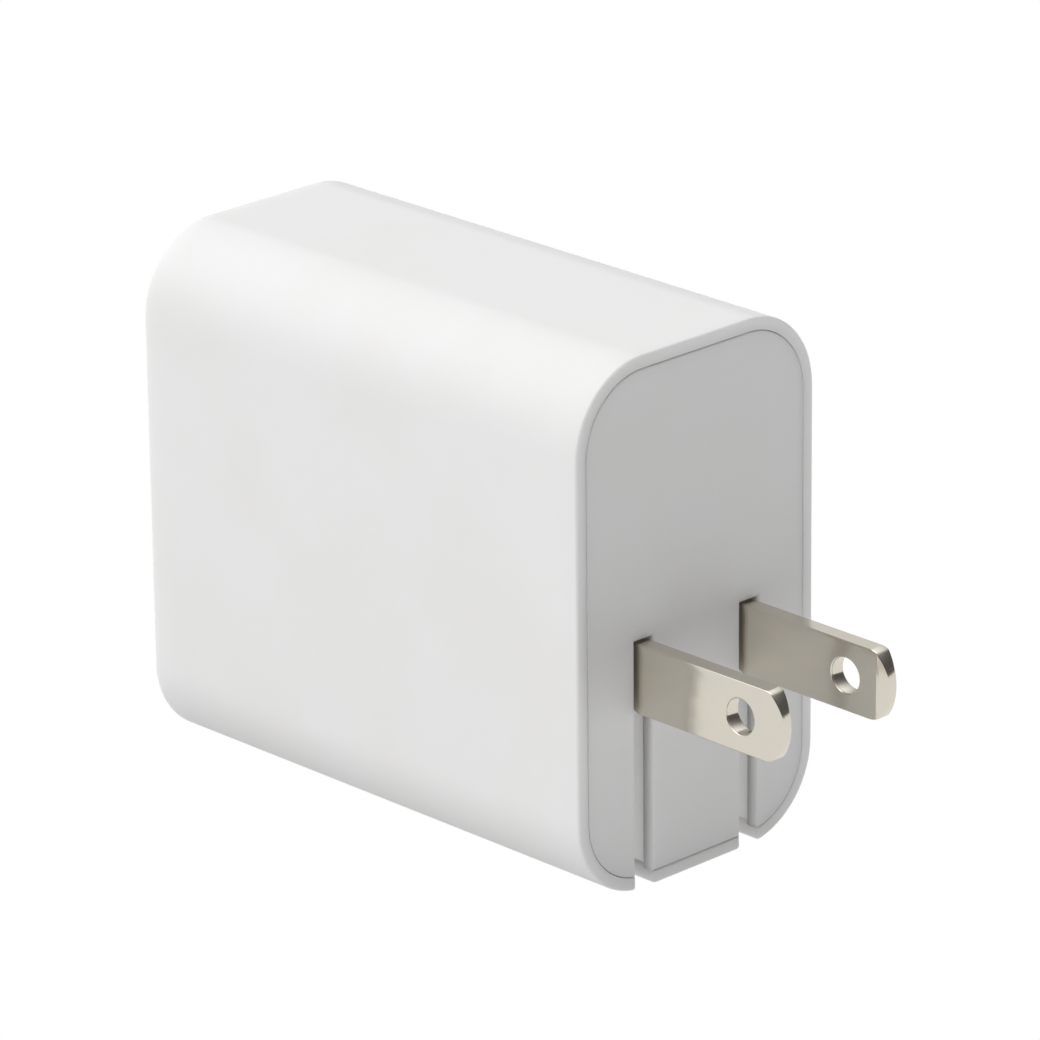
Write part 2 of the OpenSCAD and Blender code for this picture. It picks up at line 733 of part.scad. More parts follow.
module bulk_capacitor(x, reach) {
    color("black") {
        difference() {
            translate([x, 0, bulk_z]) rod_y(bulk_front_y - bulk_len, bulk_front_y, bulk_d / 2);
            translate([x, bulk_front_y - groove[0], bulk_z]) rotate([90, 0, 0]) rotate_extrude()
                translate([bulk_d / 2 + groove[2], 0]) circle(groove[1]);
        }
        for (side = [-1, 1])
            bent_lead(x, bulk_front_y, bulk_z + side * bulk_lead_pitch / 2, reach, pin_d / 2);
    }
}

module bulk_capacitor_lower() bulk_capacitor(main_x1 + bulk_lift + bulk_d / 2, bulk_reach[0]);
module bulk_capacitor_upper() bulk_capacitor(main_x1 + 2 * bulk_lift + 1.5 * bulk_d, bulk_reach[1]);

// ---- Transformer ----

// One half of the core: base, two outer legs and the round middle leg, up from x = 0
module core_half() {
    half_h = core_h / 2;
    difference() {
        block([0, -core_len / 2, -core_w / 2], [half_h, core_len / 2, core_w / 2]);
        rod_x(core_base, half_h + over, flange_r + core_gap);
        block([core_base, -flange_r * core_cut, -core_w], [half_h + over, flange_r * core_cut, core_w]);
    }
    rod_x(0, half_h, core_leg_d / 2);
}

module transformer_core_lower() {
    color("darkslategray") translate([core_x0, core_y, core_z]) core_half();
}

module transformer_core_upper() {
    color("darkslategray") translate([core_x1, core_y, core_z]) mirror([1, 0, 0]) core_half();
}

module transformer_bobbin() {
    tube_r = core_leg_d / 2 + bobbin_gap + bobbin_t;
    x0 = core_x0 + core_base + core_gap;
    x1 = core_x1 - core_base - core_gap;
    rail_z = core_w / 2 + core_gap;
    color("black") translate([0, core_y, core_z]) {
        difference() {
            union() {
                rod_x(x0, x1, tube_r);
                rod_x(x0, x0 + flange_t, flange_r);
                rod_x(x1 - flange_t, x1, flange_r);
                for (z = [-rail_z - rail_w / 2, rail_z - rail_w / 2])
                    block([x0, -rail_half, z], [x0 + rail_w, rail_half, z + rail_w]);
            }
            rod_x(x0 - over, x1 + over, core_leg_d / 2 + bobbin_gap);
        }
        for (z = [-1, 1], y = bobbin_pins) translate([0, y, z * (rail_z + bobbin_pin_dz)])
            rod_x(main_x1, x0 + over, pin_d / 2);
    }
}

module transformer_winding() {
    x0 = core_x0 + core_base + core_gap + flange_t + winding_gap;
    x1 = core_x1 - core_base - core_gap - flange_t;
    color("gold") translate([0, core_y, core_z]) difference() {
        rod_x(x0, x1, winding_d / 2);
        rod_x(x0 - over, x1 + over, core_leg_d / 2 + bobbin_gap + bobbin_t);
    }
}

// ---- Low voltage side ----

module y_capacitor() {
    disc_x = main_x1 + y_cap_lift + y_cap_d / 2;
    y0 = core_y - y_cap_t - y_cap_back;
    color("steelblue") {
        translate([disc_x, 0, low_row_z]) rod_y(y0, y0 + y_cap_t, y_cap_d / 2);
        for (side = [-1, 1]) translate([0, y0 + y_cap_t / 2, low_row_z + side * y_cap_lead])
            rod_x(main_x1, disc_x, pin_d / 2);
    }
}

module optocoupler() {
    color("black") flat_chip(opto_y, strip_z, opto, 2);
}

module rectifier_chip() {
    color("dimgray") flat_chip(rectifier_y, low_strip_z, rectifier, 4);
}

module output_capacitor(z) {
    color("silver") translate([0, out_cap_y, z]) difference() {
        rod_x(main_x1, main_x1 + out_cap_h, out_cap_d / 2);
        translate([main_x1 + low_groove[0], 0, 0]) rotate([0, 90, 0]) rotate_extrude()
            translate([out_cap_d / 2 + low_groove[2], 0]) circle(low_groove[1]);
    }
}

module output_capacitor_lower() output_capacitor(low_row_z);
module output_capacitor_upper() output_capacitor(upper_cap_z);

// A part of size [x, y, z] on the front of the socket board
module on_port_board(size, z) {
    block([-size[0] / 2, port_front_y - size[1], z - size[2] / 2],
        [size[0] / 2, port_front_y, z + size[2] / 2]);
}

module output_choke() color("dimgray") on_port_board(out_choke, out_choke_z);
module port_controller() color("dimgray") on_port_board(controller, controller_z);

module heat_spreader() {
    leg_y = port_back_y + spreader_set[0];
    color("silver") {
        block([spreader_x, leg_y, mid_z - spreader_low],
            [spreader_x + spreader_t, inlet_y1 - spreader_set[1], mid_z + spreader_high]);
        block([main_x1, leg_y, low_strip_z - spreader_leg_w / 2],
            [spreader_x + spreader_t / 2, leg_y + spreader_t, low_strip_z + spreader_leg_w / 2]);
    }
}

module thermal_pad() {
    half = [core_len / 2 - pad_inset[0], core_w / 2 - pad_inset[1]];
    color("lightblue") block([core_x1, core_y - half[0], core_z - half[1]],
        [spreader_x, core_y + half[0], core_z + half[1]]);
}

// ---- Sockets ----

module usb_c_shell() {
    color("silver") shell(usb_c_z) {
        round_rect(usb_c_w + 2 * shell_t, usb_c_h + 2 * shell_t, usb_c_h / 2 + shell_t - cap_slack);
        round_rect(usb_c_w, usb_c_h, usb_c_h / 2 - cap_slack);
    }
}

module usb_c_tongue() {
    base_y = port_mouth_y + usb_c_base_depth;
    half_t = usb_c_tongue_t / 2;
    color("dimgray") translate([0, 0, usb_c_z]) {
        deep(port_front_y, port_front_y - base_y)
            round_rect(usb_c_w - 2 * base_gap, usb_c_h - 2 * base_gap, usb_c_h / 2 - base_gap - cap_slack);
        block([-usb_c_tongue_w / 2, base_y - usb_c_tongue_len, -half_t],
            [usb_c_tongue_w / 2, base_y, half_t]);
    }
}

module usb_c_contacts() {
    base_y = port_mouth_y + usb_c_base_depth;
    strip_dz = (usb_c_tongue_t + usb_c_strip[2]) / 2;
    color("gold") for (i = [0 : usb_c_strips - 1], side = [-1, 1])
        translate([(i - (usb_c_strips - 1) / 2) * usb_c_strip_pitch, base_y - usb_c_strip[1] / 2,
            usb_c_z + side * strip_dz]) cube(usb_c_strip, center = true);
}

module usb_a_shell() {
    color("silver") shell(usb_a_z) {
        round_rect(usb_a_w + 2 * shell_t, usb_a_h + 2 * shell_t, usb_a_r + shell_t);
        round_rect(usb_a_w, usb_a_h, usb_a_r);
    }
}

module usb_a_tongue() {
    base_y = port_mouth_y + usb_a_base_depth;
    z0 = usb_a_tongue_dz - usb_a_tongue_t / 2;
    color("black") translate([0, 0, usb_a_z]) {
        deep(port_front_y, port_front_y - base_y)
            round_rect(usb_a_w - 2 * base_gap, usb_a_h - 2 * base_gap, usb_a_r - base_gap);
        block([-usb_a_tongue_w / 2, base_y - usb_a_tongue_len, z0],
            [usb_a_tongue_w / 2, base_y, z0 + usb_a_tongue_t]);
    }
}

module usb_a_contacts() {
    base_y = port_mouth_y + usb_a_base_depth;
    z0 = usb_a_z + usb_a_tongue_dz - usb_a_tongue_t / 2;
    color("gold") for (x = usb_a_strip_x)
        block([x - usb_a_strip[0] / 2, base_y - usb_a_strip[1], z0 - usb_a_strip[2]],
            [x + usb_a_strip[0] / 2, base_y, z0]);
}

housing();
end_cap();
blade_left();
blade_right();
blade_axle();
axle_retainer();
retainer_screws();
contact_spring_left();
contact_spring_right();
inlet_board();
fuse();
x_capacitor();
choke_core();
choke_winding();
bridge_rectifier();
main_board();
bulk_capacitor_lower();
bulk_capacitor_upper();
power_switch();
transformer_core_lower();
transformer_core_upper();
transformer_bobbin();
transformer_winding();
y_capacitor();
optocoupler();
rectifier_chip();
output_capacitor_lower();
output_capacitor_upper();
output_choke();
port_board();
port_controller();
usb_c_shell();
usb_c_tongue();
usb_c_contacts();
usb_a_shell();
usb_a_tongue();
usb_a_contacts();
heat_spreader();
thermal_pad();
insulating_sheet();
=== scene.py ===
"""Small mains charger with two folding blades: the finished pieces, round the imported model."""

import json
import math

import bmesh
import bpy
from bpy.props import FloatProperty, FloatVectorProperty, PointerProperty
from mathutils import Matrix, Vector


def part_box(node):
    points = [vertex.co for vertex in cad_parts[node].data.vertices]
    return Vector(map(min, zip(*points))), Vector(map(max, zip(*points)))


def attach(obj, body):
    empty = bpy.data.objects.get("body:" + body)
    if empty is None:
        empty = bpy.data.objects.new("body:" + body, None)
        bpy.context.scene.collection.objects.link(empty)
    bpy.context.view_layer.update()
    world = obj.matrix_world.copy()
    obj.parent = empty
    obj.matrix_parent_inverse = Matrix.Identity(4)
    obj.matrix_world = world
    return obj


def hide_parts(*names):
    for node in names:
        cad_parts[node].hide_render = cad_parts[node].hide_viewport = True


bl_info = {
    "name": "Folding blade charger",
    "version": (1, 0, 0),
    "blender": (4, 5, 0),
    "location": "3D View > Sidebar > Charger",
    "description": "Makes the case, blades, sockets and finishes of a small mains charger",
    "category": "Object",
}

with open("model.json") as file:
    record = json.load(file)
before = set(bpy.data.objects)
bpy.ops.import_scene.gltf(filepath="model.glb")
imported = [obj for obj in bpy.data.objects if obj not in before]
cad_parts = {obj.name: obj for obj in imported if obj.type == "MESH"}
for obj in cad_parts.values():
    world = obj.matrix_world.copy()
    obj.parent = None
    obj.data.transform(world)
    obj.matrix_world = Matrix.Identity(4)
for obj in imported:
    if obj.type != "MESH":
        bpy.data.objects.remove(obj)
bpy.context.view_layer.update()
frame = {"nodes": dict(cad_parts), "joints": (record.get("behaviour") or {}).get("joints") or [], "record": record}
MM = 0.001
HAIR = 0.01 * MM  # places closer than this are the same
CASE, BLADES = "charger_case", "plug_blades"
CASE_LOW, CASE_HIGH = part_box("housing")
BLADE_LOW, BLADE_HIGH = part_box("blade_left")
BLADE_X = (BLADE_LOW.x + BLADE_HIGH.x) / 2
PIVOT = Vector(frame["joints"][0]["pos_m"])
MOUNTS = {mount["name"]: mount for mount in frame["record"]["mounts"]}
BLADE_HOLE = MOUNTS["blade_left_hole"]
SOCKETS = ("usb_c", "usb_a")
SHARP = math.radians(30)


# ---- What a user may change ----


def size(name, text, value):
    """A length in metres, given here in millimetres."""
    return FloatProperty(name=name, description=text, default=value * MM, min=0.0, unit="LENGTH", precision=5)


def colour(name, text, value):
    return FloatVectorProperty(
        name=name, description=text, default=value, size=3, min=0.0, max=1.0, subtype="COLOR"
    )


class CaseSizes(bpy.types.PropertyGroup):
    corner: size("Corner radius", "Radius of the case's four long edges", 7.8)
    wall: size("Side walls", "Thickness of the sleeve's side walls", 1.6)
    socket_wall: size("Socket wall", "Thickness of the wall that the sockets open in", 1.5)
    rim: size("Rim", "Width of the sleeve's rim round the end plate", 1.17)
    seam: size("Seam", "Gap between the rim and the end plate", 0.05)
    plate: size("Plate", "Thickness of the end plate", 1.2)
    slot: size("Slot width", "Width of the slots that the blades fold into", 2.1)
    slot_rise: size("Slot gap", "Gap between a blade's top edge and the end of its slot", 0.2)
    well: size("Well depth", "How deep the slots go behind the wall face", 7.525)
    well_wall: size("Well walls", "Thickness of the walls behind the slots", 0.8)
    well_top: size("Well drop", "How far the wells' walls end below the axle", 2.0)
    wall_edge: size("Wall edge", "Roundness of the rim's edges at the wall face", 0.25)
    seam_edge: size("Seam edge", "Roundness of the edges along the seam", 0.12)
    slot_edge: size("Slot edge", "Roundness of the slots' edges", 0.35)
    socket_edge: size("Socket edge", "Roundness of the edge round the socket face", 0.25)
    port_edge: size("Port edge", "Roundness of the edges of the sockets' holes", 0.2)
    port_gap: size("Port gap", "Gap between a socket and its hole", 0.15)
    skirt_gap: size("Skirt gap", "Gap between the plate's skirt and the sleeve", 0.12)
    skirt: size("Skirt thickness", "Thickness of the plate's skirt", 1.0)
    skirt_depth: size("Skirt depth", "How far the skirt reaches in behind the plate", 3.2)
    pillar: size("Pillars", "Diameter of the pillars that back the socket board", 2.4)
    pillar_inset: size("Pillar inset", "From the socket board's edge to a pillar's middle", 3.35)
    pillar_rise: size("Pillar rise", "Height of a pillar over the middle of the case", 18.0)


class HingeSizes(bpy.types.PropertyGroup):
    bore: size("Bore", "Diameter of the saddles that the axle turns in", 3.3)
    saddle: size("Saddle height", "Height of a saddle above and below the axle's middle", 3.0)
    mid_saddle: size("Middle saddle", "Width of the saddle in the middle", 4.8)
    end_saddle: size("End saddles", "Width of the saddles at the ends", 2.2)
    boss: size("Bosses", "Diameter of the bosses that take the screws", 3.6)
    boss_apart: size("Boss distance", "Distance between the two bosses", 7.2)
    boss_rise: size("Boss rise", "Height of the bosses over the axle", 5.0)
    post: size("Posts", "Diameter of the posts that press on the inlet board", 2.4)
    post_apart: size("Post distance", "Distance between the two posts", 17.8)
    post_rise: size("Post rise", "Height of the posts over the axle", 10.4)


class BladeSizes(bpy.types.PropertyGroup):
    tip_corner: size("Tip corners", "Radius of the tip's corners", 2.0)
    tip_bulge: size("Tip bulge", "Radius of the bulge across the tip, at whose ends the slopes start", 4.5)
    tip_end: size("Tip thickness", "Thickness of the tip's end", 1.0)
    tip_edge: size("Tip edge", "Roundness of the edges round the tip", 0.3)
    root: size("Root radius", "Radius of the blade's round root", 2.7)
    width: size("Width", "Width of the blade's shank", 6.35)
    key: size("Key", "Width of the square hole that sits on the axle", 2.1)
    edge: size("Edge", "Roundness of the blade's edges", 0.18)
    hole_edge: size("Hole edge", "Roundness of the hole's edges", 0.28)


class SocketSizes(bpy.types.PropertyGroup):
    sheet: size("Sheet", "Thickness of the sockets' sheet metal", 0.3)
    lip: size("Lip", "Roundness of the sockets' mouths", 0.1)
    corner: size("Corner", "Corner radius inside the wide socket", 0.5)
    finger: size("Finger", "Width of the spring fingers in the wide socket", 1.4)
    finger_rise: size("Finger rise", "How far a finger stands into the wide socket", 0.45)
    finger_set: size("Finger set", "From the wide socket's mouth to where its fingers start", 2.2)
    finger_length: size("Finger length", "Length of the fingers", 6.3)
    finger_apart: size("Finger distance", "Distance between two fingers side by side", 6.2)
    finger_sheet: size("Finger sheet", "Thickness of the fingers", 0.2)


class Finishes(bpy.types.PropertyGroup):
    case: colour("Case", "White moulded plastic of the case", (0.86, 0.86, 0.86))
    plating: colour("Plating", "Nickel on the blades", (0.74, 0.69, 0.60))
    socket: colour("Socket metal", "Sheet metal of the sockets", (0.66, 0.67, 0.68))
    board: colour("Boards", "Lacquer on the boards", (0.02, 0.14, 0.055))
    copper: colour("Copper", "Enamelled wire", (0.72, 0.29, 0.12))
    tape: colour("Tape", "Tape round the transformer", (0.86, 0.62, 0.10))
    gold: colour("Gold", "Contacts in the sockets", (0.92, 0.70, 0.32))
    grain: FloatProperty(
        name="Grain", description="Strength of the moulded grain", default=0.12, min=0.0, max=1.0
    )


# ---- Meshes ----


class Body:
    """One mesh in the making, whose edges carry the width that they are rounded to."""

    def __init__(self, name, rounding):
        self.name, self.rounding = name, rounding
        self.mesh = bmesh.new()
        self.weights = self.mesh.edges.layers.float.new("bevel_weight_edge")

    def ring(self, points, y):
        """Vertices of an outline in X and Z, at one depth."""
        return [self.mesh.verts.new((x, y, z)) for x, z in points]

    def face(self, corners):
        return self.mesh.faces.new(corners)

    def strip(self, first, second, skip=()):
        """Faces between two rings, without the cells whose numbers are in skip."""
        count = len(first)
        for i in range(count):
            if i not in skip:
                j = (i + 1) % count
                self.face((first[i], first[j], second[j], second[i]))

    def prism(self, points, low, high, axis):
        """A closed solid: an outline in the other two axes, from low to high along the axis."""
        order = {"x": (2, 0, 1), "y": (0, 2, 1), "z": (0, 1, 2)}[axis]
        ends = [[self.mesh.verts.new([(u, v, w)[k] for k in order]) for u, v in points] for w in (low, high)]
        self.strip(*ends)
        self.face(ends[0])
        self.face(list(reversed(ends[1])))

    def rod(self, middle, diameter, low, high):
        """A round rod along Y, about a middle in X and Z."""
        self.prism(arc(middle, diameter / 2, 0, 345, 23), low, high, "y")

    def round_edges(self, width_at):
        """Sets how far each edge is rounded, from a function of the edge's middle and whether it's sharp."""
        bmesh.ops.recalc_face_normals(self.mesh, faces=self.mesh.faces)
        for edge in self.mesh.edges:
            if len(edge.link_faces) == 2:
                middle = (edge.verts[0].co + edge.verts[1].co) / 2
                sharp = edge.calc_face_angle() > SHARP
                edge[self.weights] = width_at(middle, sharp) / self.rounding

    def finish(self, material, segments=4):
        """The object, with its edges rounded and its normals led by the large faces."""
        data = bpy.data.meshes.new(self.name)
        self.mesh.to_mesh(data)
        self.mesh.free()
        data.shade_smooth()
        data.materials.append(material)
        piece = bpy.data.objects.new(self.name, data)
        bpy.context.scene.collection.objects.link(piece)
        bevel = piece.modifiers.new("Rounded edges", "BEVEL")
        bevel.limit_method, bevel.width, bevel.segments = "WEIGHT", self.rounding, segments
        bevel.use_clamp_overlap, bevel.miter_outer = True, "MITER_SHARP"
        normals = piece.modifiers.new("Flat faces stay flat", "WEIGHTED_NORMAL")
        normals.weight, normals.keep_sharp = 100, False
        return piece


def arc(centre, radius, start, end, steps):
    """Points along an arc, both ends included, with its angles in degrees."""
    turns = [math.radians(start + (end - start) * i / steps) for i in range(steps + 1)]
    return [(centre[0] + radius * math.cos(turn), centre[1] + radius * math.sin(turn)) for turn in turns]


def mirrored(half):
    """A whole outline from its half at positive X, which runs from the bottom's middle to the top's."""
    return half + [(-x, z) for x, z in reversed(half[1:-1])]


def half_round_rect(centre_z, width, height, radius, steps):
    """The half at positive X of a rectangle with round corners, from its bottom's middle to its top's."""
    x, z = width / 2 - radius, height / 2 - radius
    lower = arc((x, centre_z - z), radius, -90, 0, steps)
    upper = arc((x, centre_z + z), radius, 0, 90, steps)
    if z < HAIR:
        upper = upper[1:]
    return [(0, centre_z - height / 2), *lower, *upper, (0, centre_z + height / 2)]


def case_half(inset, widen=0.0):
    """The half at positive X of the case's outline, drawn in by inset.

    The points that SLOT_EDGES names are the slot's two edges, widened on both sides.
    """
    sizes = bpy.context.scene.charger_case
    radius = sizes.corner - inset
    bend_x = CASE_HIGH.x - sizes.corner
    low, high = CASE_LOW.z + sizes.corner, CASE_HIGH.z - sizes.corner
    near, far = BLADE_X - sizes.slot / 2 - widen, BLADE_X + sizes.slot / 2 + widen
    first = math.degrees(math.asin((far - bend_x) / radius))
    return (
        [(0, low - radius), (near, low - radius)]
        + arc((bend_x, low), radius, -90, first - 90, 2)
        + arc((bend_x, low), radius, first - 90, 0, 16)[1:]
        + arc((bend_x, high), radius, 0, 90, 18)
        + [(0, high + radius)]
    )


SLOT_EDGES = (1, 4)


def slot_cells(count):
    """The cells of a ring of case points that the two slots leave open."""
    slot = range(*SLOT_EDGES)
    return set(slot) | {count - 1 - i for i in slot}


def inside_by(point):
    """How far a point lies inside the case's outline."""
    corner = bpy.context.scene.charger_case.corner
    x = abs(point.x) - CASE_HIGH.x + corner
    z = abs(point.z - (CASE_LOW.z + CASE_HIGH.z) / 2) - (CASE_HIGH.z - CASE_LOW.z) / 2 + corner
    return corner - math.hypot(max(x, 0), max(z, 0)) - min(max(x, z), 0)


def port_half(name, grow, steps):
    """The half outline of a socket's own shell, grown all round."""
    low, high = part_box(name + "_shell")
    height = high.z - low.z
    sizes = bpy.context.scene.charger_sockets
    radius = height / 2 if name == "usb_c" else sizes.corner + sizes.sheet
    width = high.x - low.x
    return half_round_rect((low.z + high.z) / 2, width + 2 * grow, height + 2 * grow, radius + grow, steps)


def ended_wall(body, ring, holes):
    """Fills a wall across the case in two halves, which meet on the middle line and leave the holes."""
    half = len(ring) // 2
    for side in (1, -1):
        outer = ring[: half + 1] if side == 1 else ring[half:] + ring[:1]
        inner = []
        for hole in holes:
            middle = len(hole) // 2
            inner.append(hole[: middle + 1] if side == 1 else hole[middle:] + hole[:1])
        lower, upper = inner[::-1]
        if side == 1:
            body.face(outer + upper[::-1] + lower[::-1])
        else:
            body.face(outer + lower[::-1] + upper[::-1])


def make_sleeve(material):
    sizes = bpy.context.scene.charger_case
    body = Body("case_sleeve", sizes.slot_edge)
    front, back = CASE_HIGH.y, CASE_LOW.y
    inside = back + sizes.socket_wall
    outer, recess, inner = (mirrored(case_half(inset)) for inset in (0, sizes.rim, sizes.wall))
    outer_rings = [body.ring(outer, y) for y in (front, -sizes.well, back)]
    recess_rings = [body.ring(recess, y) for y in (front, -sizes.plate)]
    inner_rings = [body.ring(inner, y) for y in (-sizes.plate, -sizes.well, inside)]
    count = len(outer)
    cut = slot_cells(count)
    for first, second in (
        (outer_rings[0], outer_rings[1]),
        (outer_rings[0], recess_rings[0]),
        (recess_rings[0], recess_rings[1]),
        (recess_rings[1], inner_rings[0]),
        (inner_rings[0], inner_rings[1]),
    ):
        body.strip(first, second, skip=cut)
    body.strip(outer_rings[1], outer_rings[2])
    body.strip(inner_rings[1], inner_rings[2])
    body.strip(outer_rings[1], inner_rings[1], skip=set(range(count)) - cut)
    for i in SLOT_EDGES:
        for k in (i, count - i):
            body.face([ring[k] for ring in (*outer_rings[:2], *inner_rings[1::-1], *recess_rings[::-1])])
    holes = [mirrored(port_half(name, sizes.port_gap, 10)) for name in SOCKETS]
    ends = [[body.ring(hole, y) for hole in holes] for y in (back, inside)]
    ended_wall(body, outer_rings[2], ends[0])
    ended_wall(body, inner_rings[2], ends[1])
    for near, far in zip(*ends):
        body.strip(near, far)
    board_low, board_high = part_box("port_board")
    for x in (-1, 1):
        for z in (-1, 1):
            rise = (board_low.z + board_high.z) / 2 + sizes.pillar_rise * z
            middle = ((board_high.x - sizes.pillar_inset) * x, rise)
            body.rod(middle, sizes.pillar, inside, board_low.y)

    beside_hole = 0.5 * MM

    def width(middle, sharp):
        on_hole = any(
            low.z - beside_hole < middle.z < high.z + beside_hole and abs(middle.x) < high.x + beside_hole
            for low, high in (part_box(name + "_shell") for name in SOCKETS)
        )
        if not sharp:
            return 0
        if middle.y < back + HAIR:
            return sizes.port_edge if on_hole else sizes.socket_edge
        if middle.y > front - HAIR:
            across = abs(abs(middle.x) - BLADE_X) < sizes.slot / 2 + HAIR and middle.z < 0
            if not across and inside_by(middle) > sizes.rim / 2:
                return sizes.seam_edge
            return sizes.slot_edge if across else sizes.wall_edge
        at_notch = middle.y > -sizes.well - HAIR and middle.z < CASE_LOW.z + sizes.rim / 2
        return sizes.slot_edge if at_notch else 0

    body.round_edges(width)
    return body.finish(material, segments=5)


def make_plate(material):
    sizes = bpy.context.scene.charger_case
    hinge = bpy.context.scene.charger_hinge
    body = Body("wall_plate", sizes.slot_edge)
    front, back = CASE_HIGH.y, -sizes.plate
    near, far = BLADE_X - sizes.slot / 2, BLADE_X + sizes.slot / 2
    slot_top = bpy.context.scene.charger_blades.width / 2 + sizes.slot_rise
    half = case_half(sizes.rim + sizes.seam)
    body.prism(mirrored(half[:2] + [(near, slot_top), (far, slot_top)] + half[4:]), back, front, "y")

    inset = sizes.wall + sizes.skirt_gap
    skirt = [mirrored(case_half(inset + grow, sizes.well_wall / 2)) for grow in (0, sizes.skirt)]
    rings = [[body.ring(points, y) for y in (back, back - sizes.skirt_depth)] for points in skirt]
    count = len(skirt[0])
    cut = slot_cells(count)
    (outer_near, outer_far), (inner_near, inner_far) = rings
    around = (outer_near, outer_far, inner_far, inner_near)
    for first, second in zip(around, around[1:] + around[:1]):
        body.strip(first, second, skip=cut)
    for i in SLOT_EDGES:
        for k in (i, count - i):
            body.face([ring[k] for ring in around])

    inner, outer = sizes.slot / 2, sizes.slot / 2 + sizes.well_wall
    floor, behind = -sizes.well, -sizes.well - sizes.well_wall
    channel = [(-outer, back), (-outer, behind), (outer, behind), (outer, back)]
    channel += [(inner, back), (inner, floor), (-inner, floor), (-inner, back)]
    well_low = CASE_LOW.z + sizes.wall + sizes.skirt_gap
    for side in (-1, 1):
        body.prism([(x + side * BLADE_X, y) for x, y in channel], well_low, PIVOT.z - sizes.well_top, "z")

    low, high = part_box("axle_retainer")
    reach = hinge.saddle
    saddle = [(back, PIVOT.z - reach), (PIVOT.y, PIVOT.z - reach)]
    saddle += arc((PIVOT.y, PIVOT.z), hinge.bore / 2, -90, 90, 16)
    saddle += [(PIVOT.y, PIVOT.z + reach), (back, PIVOT.z + reach)]
    for start, end in (
        (low.x, low.x + hinge.end_saddle),
        (-hinge.mid_saddle / 2, hinge.mid_saddle / 2),
        (high.x - hinge.end_saddle, high.x),
    ):
        body.prism(saddle, start, end, "x")
    _, board_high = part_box("inlet_board")
    for side in (-1, 1):
        body.rod((side * hinge.boss_apart / 2, PIVOT.z + hinge.boss_rise), hinge.boss, PIVOT.y, back)
        body.rod((side * hinge.post_apart / 2, PIVOT.z + hinge.post_rise), hinge.post, board_high.y, back)

    def width(middle, sharp):
        if not sharp or middle.y < front - HAIR:
            return 0
        at_slot = abs(abs(middle.x) - BLADE_X) < sizes.slot / 2 + HAIR and middle.z < slot_top + HAIR
        return sizes.slot_edge if at_slot else sizes.seam_edge

    body.round_edges(width)
    return body.finish(material, segments=5)


